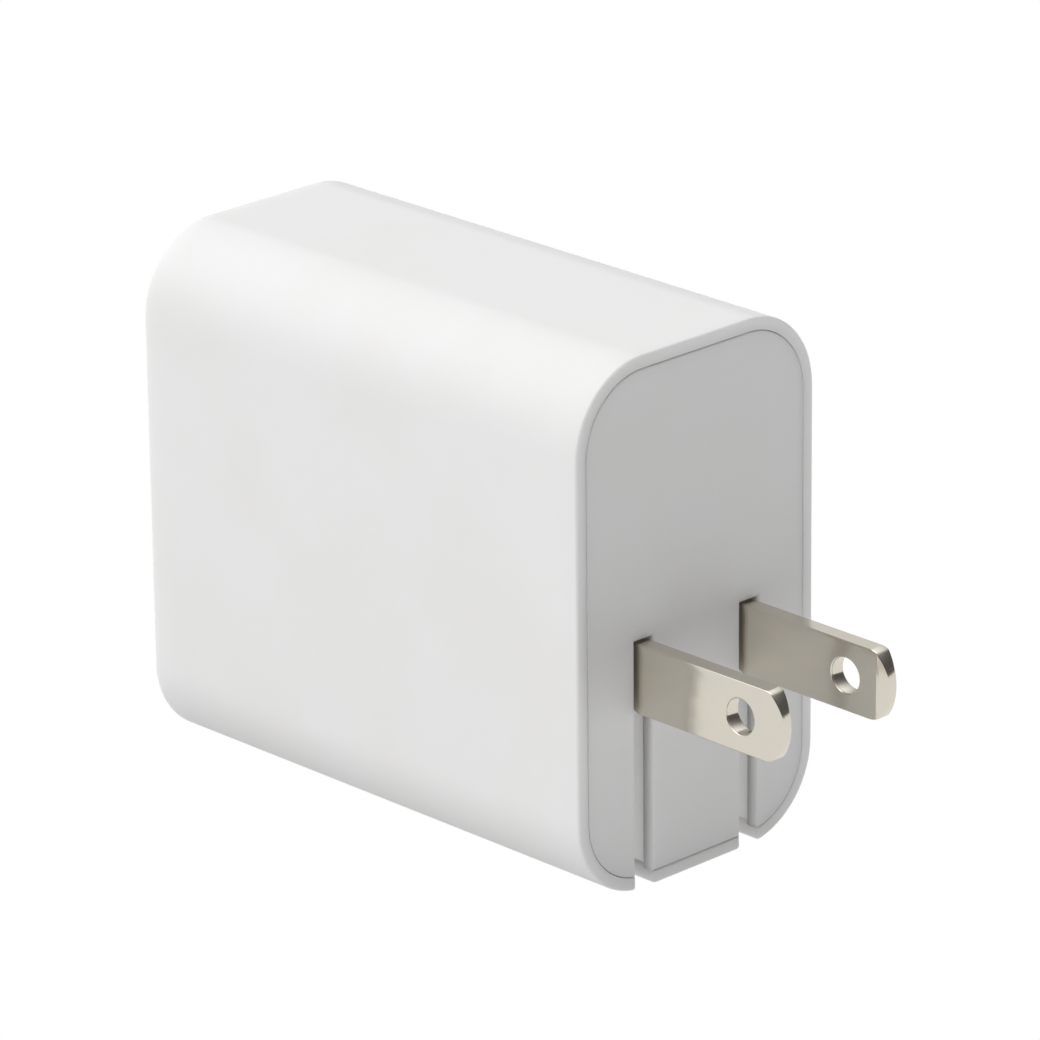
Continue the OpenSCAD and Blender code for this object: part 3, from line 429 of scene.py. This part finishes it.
def make_blade(name, middle_x, material):
    sizes = bpy.context.scene.charger_blades
    body = Body(name, sizes.tip_edge)
    half_t = (BLADE_HIGH.x - BLADE_LOW.x) / 2
    half_w, tip = sizes.width / 2, BLADE_HIGH.y
    corner_y = tip - sizes.tip_corner
    root = (PIVOT.y, PIVOT.z)

    heel = Vector((-PIVOT.y, -half_w - PIVOT.z))
    heel_turn = math.degrees(math.atan2(heel.y, heel.x) - math.acos(sizes.root / heel.length)) + 360
    join_z = half_w - PIVOT.z
    join_turn = math.degrees(math.asin(join_z / sizes.root))
    corner_z = half_w - sizes.tip_corner
    bulge_y = tip - sizes.tip_bulge
    span = math.hypot(corner_y - bulge_y, corner_z)
    opening = (sizes.tip_bulge**2 + span**2 - sizes.tip_corner**2) / (2 * sizes.tip_bulge * span)
    bulge_turn = math.degrees(math.atan2(corner_z, corner_y - bulge_y) + math.acos(opening))
    slope = bulge_y + sizes.tip_bulge * math.cos(math.radians(bulge_turn))
    meet_z = sizes.tip_bulge * math.sin(math.radians(bulge_turn))
    corner_turn = math.degrees(math.atan2(meet_z - corner_z, slope - corner_y))

    lower = arc(root, sizes.root, 180, heel_turn, 8) + [(0, -half_w)]
    lower += arc((corner_y, -corner_z), sizes.tip_corner, -90, -corner_turn, 2)
    lower += arc((bulge_y, 0), sizes.tip_bulge, -bulge_turn, 0, 7)[1:]
    upper = arc((bulge_y, 0), sizes.tip_bulge, 0, bulge_turn, 7)
    upper += arc((corner_y, corner_z), sizes.tip_corner, corner_turn, 90, 2)[1:]
    upper += arc(root, sizes.root, join_turn, 180, 14)
    outline = lower + upper[1:-1]
    tip_at = len(lower) - 1
    slope_low, slope_high = tip_at - 7, tip_at + 7

    hole_middle = (BLADE_HOLE["pos_m"][1], BLADE_HOLE["pos_m"][2])
    hole_r = BLADE_HOLE["dims"]["r_mm"] * MM
    hole_reach = hole_r + 40 * HAIR
    hole = arc(hole_middle, hole_r, 0, 360, 40)[:-1]
    key_x = sizes.key / 2
    corners = ((1, 0), (1, 1), (-1, 1), (-1, 0), (-1, -1), (1, -1))
    key = [(root[0] + key_x * a, root[1] + key_x * b) for a, b in corners]
    fall = (half_t - sizes.tip_end / 2) / (tip - slope)

    sides = []
    for side in (1, -1):
        def place(points):
            heights = [half_t - max(y - slope, 0) * fall for y, _ in points]
            return [body.mesh.verts.new((middle_x + side * x, y, z)) for x, (y, z) in zip(heights, points)]

        rim, ring, square = place(outline), place(hole), place(key)
        (crease,) = place([(slope, 0)])
        half = len(ring) // 2
        body.face([ring[0], crease, *rim[slope_high:], rim[0], *square[3::-1], *ring[half:0:-1]])
        lower_hole = [*ring[:1], *ring[: half - 1 : -1]]
        body.face([*lower_hole, square[0], *square[:2:-1], *rim[: slope_low + 1], crease])
        body.face([crease, *rim[tip_at : slope_high + 1]])
        body.face([crease, *rim[slope_low : tip_at + 1]])
        sides.append((rim, ring, square))
    for first, second in zip(*sides):
        body.strip(first, second)

    def width(middle, sharp):
        if abs(middle.y - slope) < HAIR / 10 and abs(middle.z) < half_w - 10 * HAIR:
            return sizes.tip_edge
        if not sharp or abs(middle.x - middle_x) < sizes.tip_end / 4:
            return 0
        if math.dist((middle.y, middle.z), hole_middle) < hole_reach:
            return sizes.hole_edge
        on_key = max(abs(middle.y - root[0]), abs(middle.z - root[1])) < key_x + HAIR
        if middle.y > slope:
            return sizes.tip_edge
        return 0 if on_key else sizes.edge

    body.round_edges(width)
    return body.finish(material)


def make_can(name, material):
    """The folded sheet metal of one socket, with spring fingers where the socket is wide."""
    sizes = bpy.context.scene.charger_sockets
    low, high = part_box(name + "_shell")
    body = Body(name + "_can", sizes.lip)
    outlines = [mirrored(port_half(name, grow, 12)) for grow in (0, -sizes.sheet)]
    (outer_front, outer_back), (inner_front, inner_back) = [
        [body.ring(points, y) for y in (low.y, high.y)] for points in outlines
    ]
    around = (outer_front, outer_back, inner_back, inner_front)
    for first, second in zip(around, around[1:] + around[:1]):
        body.strip(first, second)
    if name == "usb_a":
        steps, upper_share = 12, 0.7
        for side in (-1, 1):
            base = (low.z if side < 0 else high.z) - side * sizes.sheet
            rise = sizes.finger_rise * (1 if side < 0 else upper_share)
            path = []
            for i in range(steps + 1):
                lift = rise * math.sin(math.pi * i / steps) ** 2
                along = low.y + sizes.finger_set + sizes.finger_length * i / steps
                path.append((along, base - side * lift))
            back = [(y, z + side * sizes.finger_sheet) for y, z in reversed(path)]
            for x in (-sizes.finger_apart / 2, sizes.finger_apart / 2):
                body.prism(path + back, x - sizes.finger / 2, x + sizes.finger / 2, "x")

    def width(middle, sharp):
        return sizes.lip if sharp and middle.y < low.y + HAIR else 0

    body.round_edges(width)
    return body.finish(material)


# ---- Finishes ----


class Level:
    """A shader socket. Sums on it add their Math nodes."""

    def __init__(self, recipe, socket):
        self.recipe, self.socket = recipe, socket

    def maths(self, operation, *values):
        return self.recipe.maths(operation, *values)

    def __add__(self, other):
        return self.maths("ADD", self, other)

    def __radd__(self, other):
        return self.maths("ADD", other, self)

    def __sub__(self, other):
        return self.maths("SUBTRACT", self, other)

    def __rsub__(self, other):
        return self.maths("SUBTRACT", other, self)

    def __mul__(self, other):
        return self.maths("MULTIPLY", self, other)

    def __rmul__(self, other):
        return self.maths("MULTIPLY", other, self)


class Nodes:
    """A node tree that is filled by one method."""

    def __init__(self, tree):
        self.tree = tree
        tree.nodes.clear()

    def add(self, kind, settings=None, values=None, output=0):
        """Adds a node: its settings first, then the values or links of its sockets."""
        node = self.tree.nodes.new("ShaderNode" + kind)
        for name, value in (settings or {}).items():
            setattr(node, name, value)
        for name, value in (values or {}).items():
            if isinstance(value, Level):
                self.tree.links.new(value.socket, node.inputs[name])
            else:
                node.inputs[name].default_value = value
        return Level(self, node.outputs[output]) if node.outputs else None

    def maths(self, operation, *values):
        return self.add("Math", {"operation": operation}, dict(enumerate(values)))

    def mix(self, factor, first, second):
        """A mix of two colours."""
        ends = [end if isinstance(end, Level) else (*end, 1) for end in (first, second)]
        return self.add("Mix", {"data_type": "RGBA"}, {0: factor, 6: ends[0], 7: ends[1]}, output=2)

    def band(self, value, low, high, start=0.0, end=1.0):
        """A value's smooth way from start to end, as it goes from low to high."""
        settings = {"interpolation_type": "SMOOTHSTEP"}
        return self.add("MapRange", settings, {0: value, 1: low, 2: high, 3: start, 4: end})


class Finish(Nodes):
    """A material with its shader, in the object's own millimetres."""

    def __init__(self, name, **constants):
        self.material = bpy.data.materials.new(name)
        self.material.use_nodes = True
        super().__init__(self.material.node_tree)
        self.constants = constants
        place = self.add("TexCoord", output=3)
        self.place = self.add("VectorMath", {"operation": "SCALE"}, {0: place, "Scale": 1 / MM})

    def noise(self, scale, detail=2.0, stretch=(1, 1, 1), roughness=0.5):
        """Soft noise, with scale as lumps for each millimetre."""
        place = self.add("VectorMath", {"operation": "MULTIPLY"}, {0: self.place, 1: stretch})
        values = {"Vector": place, "Scale": scale, "Detail": detail, "Roughness": roughness}
        return self.add("TexNoise", None, values)

    def cells(self, scale, feature="F1", stretch=(1, 1, 1)):
        place = self.add("VectorMath", {"operation": "MULTIPLY"}, {0: self.place, 1: stretch})
        return self.add("TexVoronoi", {"feature": feature}, {"Vector": place, "Scale": scale})

    def waves(self, scale, direction, distortion=0.0):
        settings = {"wave_type": "BANDS", "bands_direction": direction}
        values = {"Vector": self.place, "Scale": scale, "Distortion": distortion}
        return self.add("TexWave", settings, values, output=1)

    def past_face(self):
        """Millimetres in front of the wall face, so less than zero inside the case."""
        return self.add("SeparateXYZ", None, {"Vector": self.place}, output=1)

    def done(self, colour, roughness, height, depth, metallic=0.0, painted_glow=None):
        """Links the shader. Height goes from 0 to 1, and depth is what it stands for, in millimetres."""
        bump = self.add("Bump", None, {"Strength": 1.0, "Distance": depth * MM, "Height": height})
        if not isinstance(colour, Level):
            colour = (*colour, 1)
        values = {"Base Color": colour, "Roughness": roughness, "Metallic": metallic, "Normal": bump}
        # painted_glow, when given, is painted light: the surface glows though it is no lamp.
        if painted_glow is not None:
            values.update({"Emission Color": painted_glow, "Emission Strength": 1.0})
        shader = self.add("BsdfPrincipled", None, {**values, **self.constants})
        self.add("OutputMaterial", None, {"Surface": shader})
        return self.material


def shade(colour, factor):
    return tuple(min(1.0, part * factor) for part in colour)


# Light runs a little way under the skin of the white plastic.
MILKY = {"Subsurface Weight": 0.5, "Subsurface Radius": (1.0, 0.95, 0.9), "Subsurface Scale": 1.5 * MM}


def case_finish():
    """Satin white plastic: fine spark grain, slow flow marks and a few grey specks."""
    colours = bpy.context.scene.charger_finishes
    made = Finish("case_plastic", IOR=1.49, **MILKY)
    base = tuple(colours.case)
    flow = made.noise(0.09, 3.0)
    tone = made.mix(made.band(flow, 0.35, 0.7), base, (base[0] * 0.985, base[1] * 0.98, base[2] * 0.965))
    specks = made.band(made.cells(0.8), 0.035, 0.02)
    tone = made.mix(specks * made.band(made.noise(0.7, 0.0), 0.62, 0.66) * 0.35, tone, (0.55, 0.53, 0.50))
    grain = made.noise(5.0, 3.0, roughness=0.6)
    roughness = 0.36 + made.band(flow, 0.3, 0.7, -0.03, 0.03) + (grain - 0.5) * 0.08
    return made.done(tone, roughness, grain, 0.02 * colours.grain)


def plate_finish():
    """The end plate's plastic, duller and coarser, with painted light: everything behind the wall face glows a
    little, so the slots' insides never go dark.
    """
    colours = bpy.context.scene.charger_finishes
    made = Finish("plate_plastic", IOR=1.49, **MILKY)
    base = shade(colours.case, 0.97)
    flow = made.noise(0.12, 2.0)
    tone = made.mix(made.band(flow, 0.35, 0.7), base, (base[0] * 0.985, base[1] * 0.985, base[2] * 0.975))
    grain = made.noise(4.0, 3.0, roughness=0.6)
    roughness = 0.46 + (grain - 0.5) * 0.1
    # Painted light: a glow of up to a tenth of white on the plate more than 0.3 mm behind the wall face, fullest
    # from 2.5 mm in.
    painted_glow_share = made.band(made.past_face(), -2.5, -0.3, 0.1, 0.0)
    painted_glow = made.mix(painted_glow_share, (0, 0, 0), (1.0, 0.99, 0.97))
    return made.done(tone, roughness, grain, 0.04 * colours.grain, painted_glow=painted_glow)


def plating_finish():
    """Nickel plating over stamped brass: a mirror with slow waves, faint patches and a few hair lines."""
    colours = bpy.context.scene.charger_finishes
    made = Finish("blade_plating")
    base = tuple(colours.plating)
    patches = made.noise(0.35, 3.0)
    tone = made.mix(made.band(patches, 0.35, 0.65), base, (base[0] * 0.98, base[1] * 0.99, base[2] * 1.01))
    lines = made.noise(1.0, 1.0, stretch=(6, 0.35, 6))
    scratches = made.band(made.noise(1.0, 0.0, stretch=(9, 0.22, 11)), 0.72, 0.76)
    height = lines * 0.15 + made.noise(0.6, 1.0) - scratches * 0.2
    roughness = 0.12 + made.band(patches, 0.3, 0.7, 0.0, 0.03) + scratches * 0.08
    return made.done(tone, roughness, height, 0.0012, metallic=1.0)


def socket_finish():
    """Tin plated steel of the socket cans, with rolling marks."""
    colours = bpy.context.scene.charger_finishes
    made = Finish("socket_steel")
    base = tuple(colours.socket)
    marks = made.noise(1.0, 3.0, stretch=(10, 0.6, 10))
    blotches = made.noise(0.8, 2.0)
    tone = made.mix(made.band(blotches, 0.4, 0.7), base, shade(base, 0.9))
    return made.done(tone, 0.26 + marks * 0.14, marks, 0.003, metallic=1.0)


def moulded(name, colour, roughness, scale=3.0, depth=0.008, second=0.88, **constants):
    """Moulded plastic, resin or rubber: a fine grain and a slow change of tone."""
    made = Finish(name, **constants)
    grain = made.noise(scale, 3.0)
    tone = made.mix(made.band(made.noise(0.35, 3.0), 0.35, 0.65), colour, shade(colour, second))
    return made.done(tone, roughness + (grain - 0.5) * 0.15, grain, depth)


def metal(name, colour, roughness, stretch, depth=0.002, **constants):
    """Rolled, drawn or turned metal, with its marks along the direction that stretch leaves short."""
    made = Finish(name, **constants)
    marks = made.noise(1.0, 3.0, stretch=stretch)
    tone = made.mix(made.band(made.noise(0.6, 3.0), 0.4, 0.7), colour, shade(colour, 0.85))
    return made.done(tone, roughness + marks * 0.15, marks, depth, metallic=1.0)


def board_finish():
    """Lacquer over glass weave, with the tracks under it a little lighter."""
    base = tuple(bpy.context.scene.charger_finishes.board)
    made = Finish("board_laminate")
    weave = (made.waves(0.9, "X") + made.waves(0.9, "Y") + made.waves(0.9, "Z")) * 0.33
    tracks = made.band(made.cells(0.32, "DISTANCE_TO_EDGE"), 0.12, 0.16)
    tone = made.mix(tracks, base, shade(base, 1.9))
    tone = made.mix(weave * 0.25, tone, shade(base, 0.6))
    return made.done(tone, 0.26 + weave * 0.12, weave * 0.3 + tracks, 0.03)


def tape_finish():
    """Glossy film tape, whose turns overlap in steps, over wire that shows through as fine ribs."""
    base = tuple(bpy.context.scene.charger_finishes.tape)
    made = Finish("winding_tape")
    steps = made.band(made.waves(0.11, "X", 0.6), 0.46, 0.54)
    ribs = made.waves(1.1, "X")
    tone = made.mix(steps * 0.5, base, shade(base, 0.78))
    return made.done(tone, 0.2 + made.noise(1.2, 3.0) * 0.15, steps + ribs * 0.2, 0.03)


def ferrite_finish():
    """Sintered ferrite: near black, with pale flecks and shallow pits."""
    made = Finish("ferrite")
    flecks = made.band(made.cells(3.5), 0.16, 0.08)
    pits = made.band(made.noise(2.2, 4.0), 0.36, 0.30)
    tone = made.mix(flecks * 0.5, (0.035, 0.035, 0.04), (0.16, 0.16, 0.17))
    return made.done(tone, 0.62 - flecks * 0.2, made.noise(5.0, 3.0) * 0.4 - pits, 0.03)


def wire_finish():
    """Enamelled copper: drawn lines under a clear coat."""
    base = tuple(bpy.context.scene.charger_finishes.copper)
    made = Finish("copper_wire", **{"Coat Weight": 0.8, "Coat Roughness": 0.08})
    lines = made.noise(2.0, 3.0)
    tone = made.mix(made.band(made.noise(0.8, 2.0), 0.35, 0.65), base, shade(base, 0.72))
    return made.done(tone, 0.25 + lines * 0.12, lines, 0.004, metallic=1.0)


def sleeve_finish():
    """Shrunk capacitor sleeve: glossy, with creases that run along it."""
    made = Finish("capacitor_sleeve")
    creases = made.noise(1.0, 3.0, stretch=(2.4, 0.25, 2.4))
    tone = made.mix(made.band(creases, 0.4, 0.7), (0.012, 0.013, 0.016), (0.035, 0.036, 0.045))
    return made.done(tone, 0.22 + creases * 0.1, creases, 0.03)


def film_finish():
    """Amber film, a little see-through, with a slow ripple."""
    made = Finish("sheet_film", **{"Transmission Weight": 0.35, "IOR": 1.6})
    ripple = made.noise(0.3, 2.0)
    tone = made.mix(ripple, (0.80, 0.42, 0.08), (0.70, 0.33, 0.05))
    return made.done(tone, 0.15 + ripple * 0.1, ripple, 0.05)


def gold_finish():
    """Gold over nickel, worn paler along the middle of each strip by the wiping contacts."""
    base = tuple(bpy.context.scene.charger_finishes.gold)
    made = Finish("contact_gold")
    wiping = made.noise(1.0, 2.0, stretch=(16, 0.8, 16))
    tone = made.mix(made.band(wiping, 0.5, 0.75), base, (0.80, 0.74, 0.60))
    return made.done(tone, 0.16 + wiping * 0.15, wiping, 0.002, metallic=1.0)


def slot_finishes():
    """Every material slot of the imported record, with its finish."""
    along_y, along_x, along_z = (12, 0.6, 12), (0.6, 12, 12), (12, 12, 0.6)
    return {
        "case_plastic": case_finish(),
        "blade_plating": plating_finish(),
        "axle_plastic": moulded("axle_plastic", (0.72, 0.69, 0.60), 0.38),
        "retainer_plastic": moulded("retainer_plastic", (0.62, 0.62, 0.61), 0.45, 2.0, 0.015),
        "screw_steel": metal("screw_steel", (0.52, 0.53, 0.55), 0.22, along_y, 0.004),
        "spring_bronze": metal("spring_bronze", (0.76, 0.50, 0.28), 0.20, along_z),
        "board_laminate": board_finish(),
        "chip_plastic": moulded("chip_plastic", (0.035, 0.036, 0.038), 0.55, 6.0, 0.02, 1.5),
        "fuse_plastic": moulded("fuse_plastic", (0.16, 0.07, 0.035), 0.35, 3.0, 0.01, 0.8),
        "film_box": moulded("film_box", (0.78, 0.55, 0.10), 0.42, 2.5, 0.02, 0.9),
        "ferrite": ferrite_finish(),
        "ring_coating": moulded("ring_coating", (0.10, 0.36, 0.16), 0.48, 4.0, 0.03, 0.8),
        "copper_wire": wire_finish(),
        "winding_tape": tape_finish(),
        "bobbin_plastic": moulded("bobbin_plastic", (0.03, 0.03, 0.032), 0.40, 2.5, 0.015, 1.4),
        "capacitor_sleeve": sleeve_finish(),
        "disc_coating": moulded("disc_coating", (0.08, 0.24, 0.50), 0.18, 1.2, 0.05, 0.85),
        "capacitor_can": metal("capacitor_can", (0.82, 0.83, 0.84), 0.24, along_x, 0.003),
        "socket_steel": socket_finish(),
        "tongue_plastic": moulded("tongue_plastic", (0.02, 0.02, 0.022), 0.36, 4.0, 0.008, 1.6),
        "contact_gold": gold_finish(),
        "spreader_metal": metal("spreader_metal", (0.80, 0.80, 0.80), 0.32, along_y, 0.004),
        "pad_silicone": moulded("pad_silicone", (0.50, 0.58, 0.66), 0.70, 1.6, 0.06, 0.93),
        "sheet_film": film_finish(),
    }


def finish_of(slot):
    """The material of a slot, made with all the others when the first is asked for."""
    if slot not in bpy.data.materials or "charger" not in bpy.data.materials[slot]:
        for old in [material for material in bpy.data.materials if material.users == 0]:
            bpy.data.materials.remove(old)
        for material in list(bpy.data.materials):
            material.name = "packed_" + material.name
        for name, material in slot_finishes().items():
            material.name = name
            material["charger"] = True
    return bpy.data.materials[slot]


def finish_nodes(*names):
    """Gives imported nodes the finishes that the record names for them."""
    slots = {part["node"]: part["material_slot"] for part in frame["record"]["subparts"]}
    for name in names:
        for place in frame["nodes"][name].material_slots:
            place.material = finish_of(slots[name])


def put(piece, body, slot, *nodes):
    """Places a finished piece on the body it rides on and hides the nodes it stands for. Its material slot is not
    used.
    """
    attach(piece, body)
    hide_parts(*nodes)


# ---- Stage ----


def sky(name, stage):
    """Soft light from above, from high on the left and from behind, with little in front of the wall end."""
    world = bpy.data.worlds.new(name)
    world.use_nodes = True
    made = Nodes(world.node_tree)
    way = made.add("TexCoord")
    parts = made.add("SeparateXYZ", None, {"Vector": way})
    x, y, z = (Level(made, parts.socket.node.outputs[i]) for i in range(3))
    left = made.band(x * 0.65 - y * 0.3 + z * 0.7, 0.5, 0.98)
    behind = made.band(z * 0.8 - y * 0.6, 0.2, 0.95)
    above = made.band(z, 0.3, 0.95)
    level = stage.sky_all_round + above * stage.sky_above + behind * stage.sky_behind + left * stage.sky_left
    light = made.add("Background", None, {"Color": level, "Strength": 1.0})
    plain = made.add("Background", None, {"Color": (1, 1, 1, 1), "Strength": 1.0})
    seen = made.add("LightPath")
    shown = made.add("MixShader", None, {0: seen, 1: light, 2: plain})
    made.add("OutputWorld", None, {"Surface": shown})
    return world


def glowing(name, seen_level, lit_level, shaded):
    """A pale surface that shows one level of white and lights the charger with another.

    That other level is dimmer next to the case, by the share called shaded.
    """
    material = bpy.data.materials.new(name)
    material.use_nodes = True
    made = Nodes(material.node_tree)
    seen = made.add("LightPath")
    parts = made.add("SeparateXYZ", None, {"Vector": made.add("TexCoord", output=3)})
    x, y = (Level(made, parts.socket.node.outputs[i]) for i in range(2))
    across = made.maths("ABSOLUTE", x) - CASE_HIGH.x
    along = made.maths("ABSOLUTE", y - CASE_LOW.y / 2) + CASE_LOW.y / 2
    beside = made.maths("MAXIMUM", across, along)
    lit = made.band(beside, -0.002, 0.012, lit_level * shaded, lit_level)
    level = made.band(seen, 0.0, 1.0, lit, seen_level)
    shine = made.add("Emission", None, {"Color": level, "Strength": 1.0})
    made.add("OutputMaterial", None, {"Surface": shine})
    return material


def make_floor(stage):
    """A pale floor under the case, wide enough for every view."""
    body = Body("floor", 1.0)
    reach, steps = stage.floor, 8
    for i in range(steps):
        a, b = (i * 360 / steps, (i + 1) * 360 / steps)
        corners = [(0, 0), *arc((0, 0), reach, a, b, 1)]
        body.face([body.mesh.verts.new((x, y, CASE_LOW.z - 2 * HAIR)) for x, y in corners])
    data = bpy.data.meshes.new("floor")
    bmesh.ops.remove_doubles(body.mesh, verts=body.mesh.verts, dist=HAIR)
    body.mesh.to_mesh(data)
    body.mesh.free()
    data.materials.append(glowing("floor_white", 1.0, stage.floor_light, stage.floor_shade))
    floor = bpy.data.objects.new("floor", data)
    bpy.context.scene.collection.objects.link(floor)


def make_camera(stage):
    """A long lens that looks down on the wall end from the charger's left."""
    turn, rise = math.radians(stage.camera_turn), math.radians(stage.camera_rise)
    roll = math.radians(stage.camera_roll)
    back = Vector((math.sin(turn) * math.cos(rise), math.cos(turn) * math.cos(rise), math.sin(rise)))
    right = (-back).cross(Vector((0, 0, 1))).normalized()
    up = right.cross(-back)
    right, up = right * math.cos(roll) + up * math.sin(roll), up * math.cos(roll) - right * math.sin(roll)
    data = bpy.data.cameras.new("camera")
    data.sensor_width, data.lens = 36, stage.lens
    data.clip_start, data.clip_end = 0.01, 100
    camera = bpy.data.objects.new("camera", data)
    place = Vector(stage.target) + back * stage.camera_distance
    camera.matrix_world = Matrix.Translation(place) @ Matrix((right, up, back)).transposed().to_4x4()
    bpy.context.scene.collection.objects.link(camera)
    bpy.context.scene.camera = camera


def make_light(name, place, width, power):
    """A square soft box that faces the middle of the case."""
    data = bpy.data.lights.new(name, "AREA")
    data.shape, data.size, data.energy = "SQUARE", width, power
    light = bpy.data.objects.new(name, data)
    light.location = (CASE_LOW + CASE_HIGH) / 2 + Vector(place)
    light.rotation_euler = Vector(place).to_track_quat("Z", "Y").to_euler()
    light.visible_camera = False
    bpy.context.scene.collection.objects.link(light)


def amount(name, text, value, unit="NONE"):
    """A plain value, a length in metres or an angle in degrees."""
    return FloatProperty(name=name, description=text, default=value, unit=unit)


def spot(name, text, value):
    return FloatVectorProperty(name=name, description=text, default=value, size=3, unit="LENGTH")


class StageSettings(bpy.types.PropertyGroup):
    camera_turn: amount("Turn", "Angle from straight on to the blades, in degrees", 44.038)
    camera_rise: amount("Rise", "Height of the camera, in degrees", 20.653)
    camera_roll: amount("Roll", "Tilt of the camera, in degrees", -0.642)
    camera_distance: amount("Distance", "From the camera to its target", 0.607658, "LENGTH")
    target: spot("Target", "Point in the middle of the view", (-0.003552, -0.025, 0.004813))
    lens: amount("Lens", "Focal length in millimetres", 241.76)
    floor: amount("Floor", "Reach of the floor from the origin", 30.0, "LENGTH")
    floor_light: amount("Floor light", "White that the floor lights the charger with", 0.9)
    floor_shade: amount("Floor shade", "Share of that light right beside the case", 0.68)
    sky_all_round: amount("Sky all round", "Light that comes from the whole sky", 0.1)
    sky_above: amount("Sky above", "More light from straight above", 0.28)
    sky_behind: amount("Sky behind", "More light from above the socket end", 0.93)
    sky_left: amount("Sky left", "More light from high on the left", 0.64)
    softbox_place: spot("Softbox place", "Soft box, from the middle of the case", (0.45, -0.15, 0.42))
    softbox_size: amount("Softbox size", "Width and height of the soft box", 0.6, "LENGTH")
    softbox_power: amount("Softbox power", "Power of the soft box in watts", 0.3)


# ---- Operators ----


class CHARGER_OT_sleeve(bpy.types.Operator):
    """Makes the white sleeve, with its rim, slots and sockets' holes."""

    bl_idname = "charger.sleeve"
    bl_label = "Sleeve"

    def execute(self, context):
        put(make_sleeve(finish_of("case_plastic")), CASE, "case_plastic", "housing")
        return {"FINISHED"}


class CHARGER_OT_plate(bpy.types.Operator):
    """Makes the end plate, with the wells and saddles behind it."""

    bl_idname = "charger.plate"
    bl_label = "End plate"

    def execute(self, context):
        put(make_plate(plate_finish()), CASE, "case_plastic", "end_cap")
        return {"FINISHED"}


class CHARGER_OT_blades(bpy.types.Operator):
    """Makes the two plated blades and finishes their axle."""

    bl_idname = "charger.blades"
    bl_label = "Blades"

    def execute(self, context):
        for name, side in (("blade_left", 1), ("blade_right", -1)):
            piece = make_blade(name + "_plated", side * BLADE_X, finish_of("blade_plating"))
            put(piece, BLADES, "blade_plating", name)
        finish_nodes("blade_axle")
        return {"FINISHED"}


class CHARGER_OT_sockets(bpy.types.Operator):
    """Makes the sockets' metal cans and finishes their tongues and contacts."""

    bl_idname = "charger.sockets"
    bl_label = "Sockets"

    def execute(self, context):
        for name in SOCKETS:
            put(make_can(name, finish_of("socket_steel")), CASE, "socket_steel", name + "_shell")
            finish_nodes(name + "_tongue", name + "_contacts")
        return {"FINISHED"}


class CHARGER_OT_hinge(bpy.types.Operator):
    """Finishes what holds the axle and carries the mains from the blades."""

    bl_idname = "charger.hinge"
    bl_label = "Hinge parts"

    def execute(self, context):
        finish_nodes("axle_retainer", "retainer_screws", "contact_spring_left", "contact_spring_right")
        return {"FINISHED"}


class CHARGER_OT_boards(bpy.types.Operator):
    """Finishes the three boards and the sheets and metal beside them."""

    bl_idname = "charger.boards"
    bl_label = "Boards"

    def execute(self, context):
        finish_nodes("inlet_board", "main_board", "port_board")
        finish_nodes("insulating_sheet", "heat_spreader", "thermal_pad")
        return {"FINISHED"}


class CHARGER_OT_power(bpy.types.Operator):
    """Finishes the parts on the mains side, and the transformer."""

    bl_idname = "charger.power"
    bl_label = "Mains side"

    def execute(self, context):
        finish_nodes("fuse", "x_capacitor", "choke_core", "choke_winding", "bridge_rectifier", "power_switch")
        finish_nodes("bulk_capacitor_lower", "bulk_capacitor_upper", "y_capacitor", "optocoupler")
        finish_nodes("transformer_core_lower", "transformer_core_upper")
        finish_nodes("transformer_bobbin", "transformer_winding")
        return {"FINISHED"}


class CHARGER_OT_output(bpy.types.Operator):
    """Finishes the parts on the low voltage side."""

    bl_idname = "charger.output"
    bl_label = "Output side"

    def execute(self, context):
        finish_nodes("rectifier_chip", "output_capacitor_lower", "output_capacitor_upper")
        finish_nodes("output_choke", "port_controller")
        return {"FINISHED"}


class CHARGER_OT_stage(bpy.types.Operator):
    """Sets the floor, the light and the camera."""

    bl_idname = "charger.stage"
    bl_label = "Stage"

    def execute(self, context):
        stage = context.scene.charger_stage
        make_camera(stage)
        make_floor(stage)
        context.scene.world = sky("sky", stage)
        make_light("softbox", stage.softbox_place, stage.softbox_size, stage.softbox_power)
        context.scene.view_settings.view_transform = "Standard"
        return {"FINISHED"}


class CHARGER_PT_panel(bpy.types.Panel):
    """The charger's pieces and sizes."""

    bl_idname = "CHARGER_PT_panel"
    bl_label = "Charger"
    bl_space_type = "VIEW_3D"
    bl_region_type = "UI"
    bl_category = "Charger"

    def draw(self, context):
        for operator in OPERATORS:
            self.layout.operator(operator.bl_idname)
        for name, group in GROUPS.items():
            box = self.layout.box()
            box.label(text=group.__name__)
            for key in group.__annotations__:
                box.prop(getattr(context.scene, name), key)


GROUPS = {
    "charger_case": CaseSizes,
    "charger_hinge": HingeSizes,
    "charger_blades": BladeSizes,
    "charger_sockets": SocketSizes,
    "charger_finishes": Finishes,
    "charger_stage": StageSettings,
}
OPERATORS = (
    CHARGER_OT_sleeve,
    CHARGER_OT_plate,
    CHARGER_OT_blades,
    CHARGER_OT_sockets,
    CHARGER_OT_hinge,
    CHARGER_OT_boards,
    CHARGER_OT_power,
    CHARGER_OT_output,
    CHARGER_OT_stage,
)


def register():
    for part in (*GROUPS.values(), *OPERATORS, CHARGER_PT_panel):
        bpy.utils.register_class(part)
    for name, group in GROUPS.items():
        setattr(bpy.types.Scene, name, PointerProperty(type=group))


def unregister():
    for name in GROUPS:
        delattr(bpy.types.Scene, name)
    for part in (CHARGER_PT_panel, *reversed(OPERATORS), *reversed(GROUPS.values())):
        bpy.utils.unregister_class(part)


def main():
    register()
    for operator in OPERATORS:
        _, action = operator.bl_idname.split(".")
        getattr(bpy.ops.charger, action)()


if __name__ == "__main__":
    main()
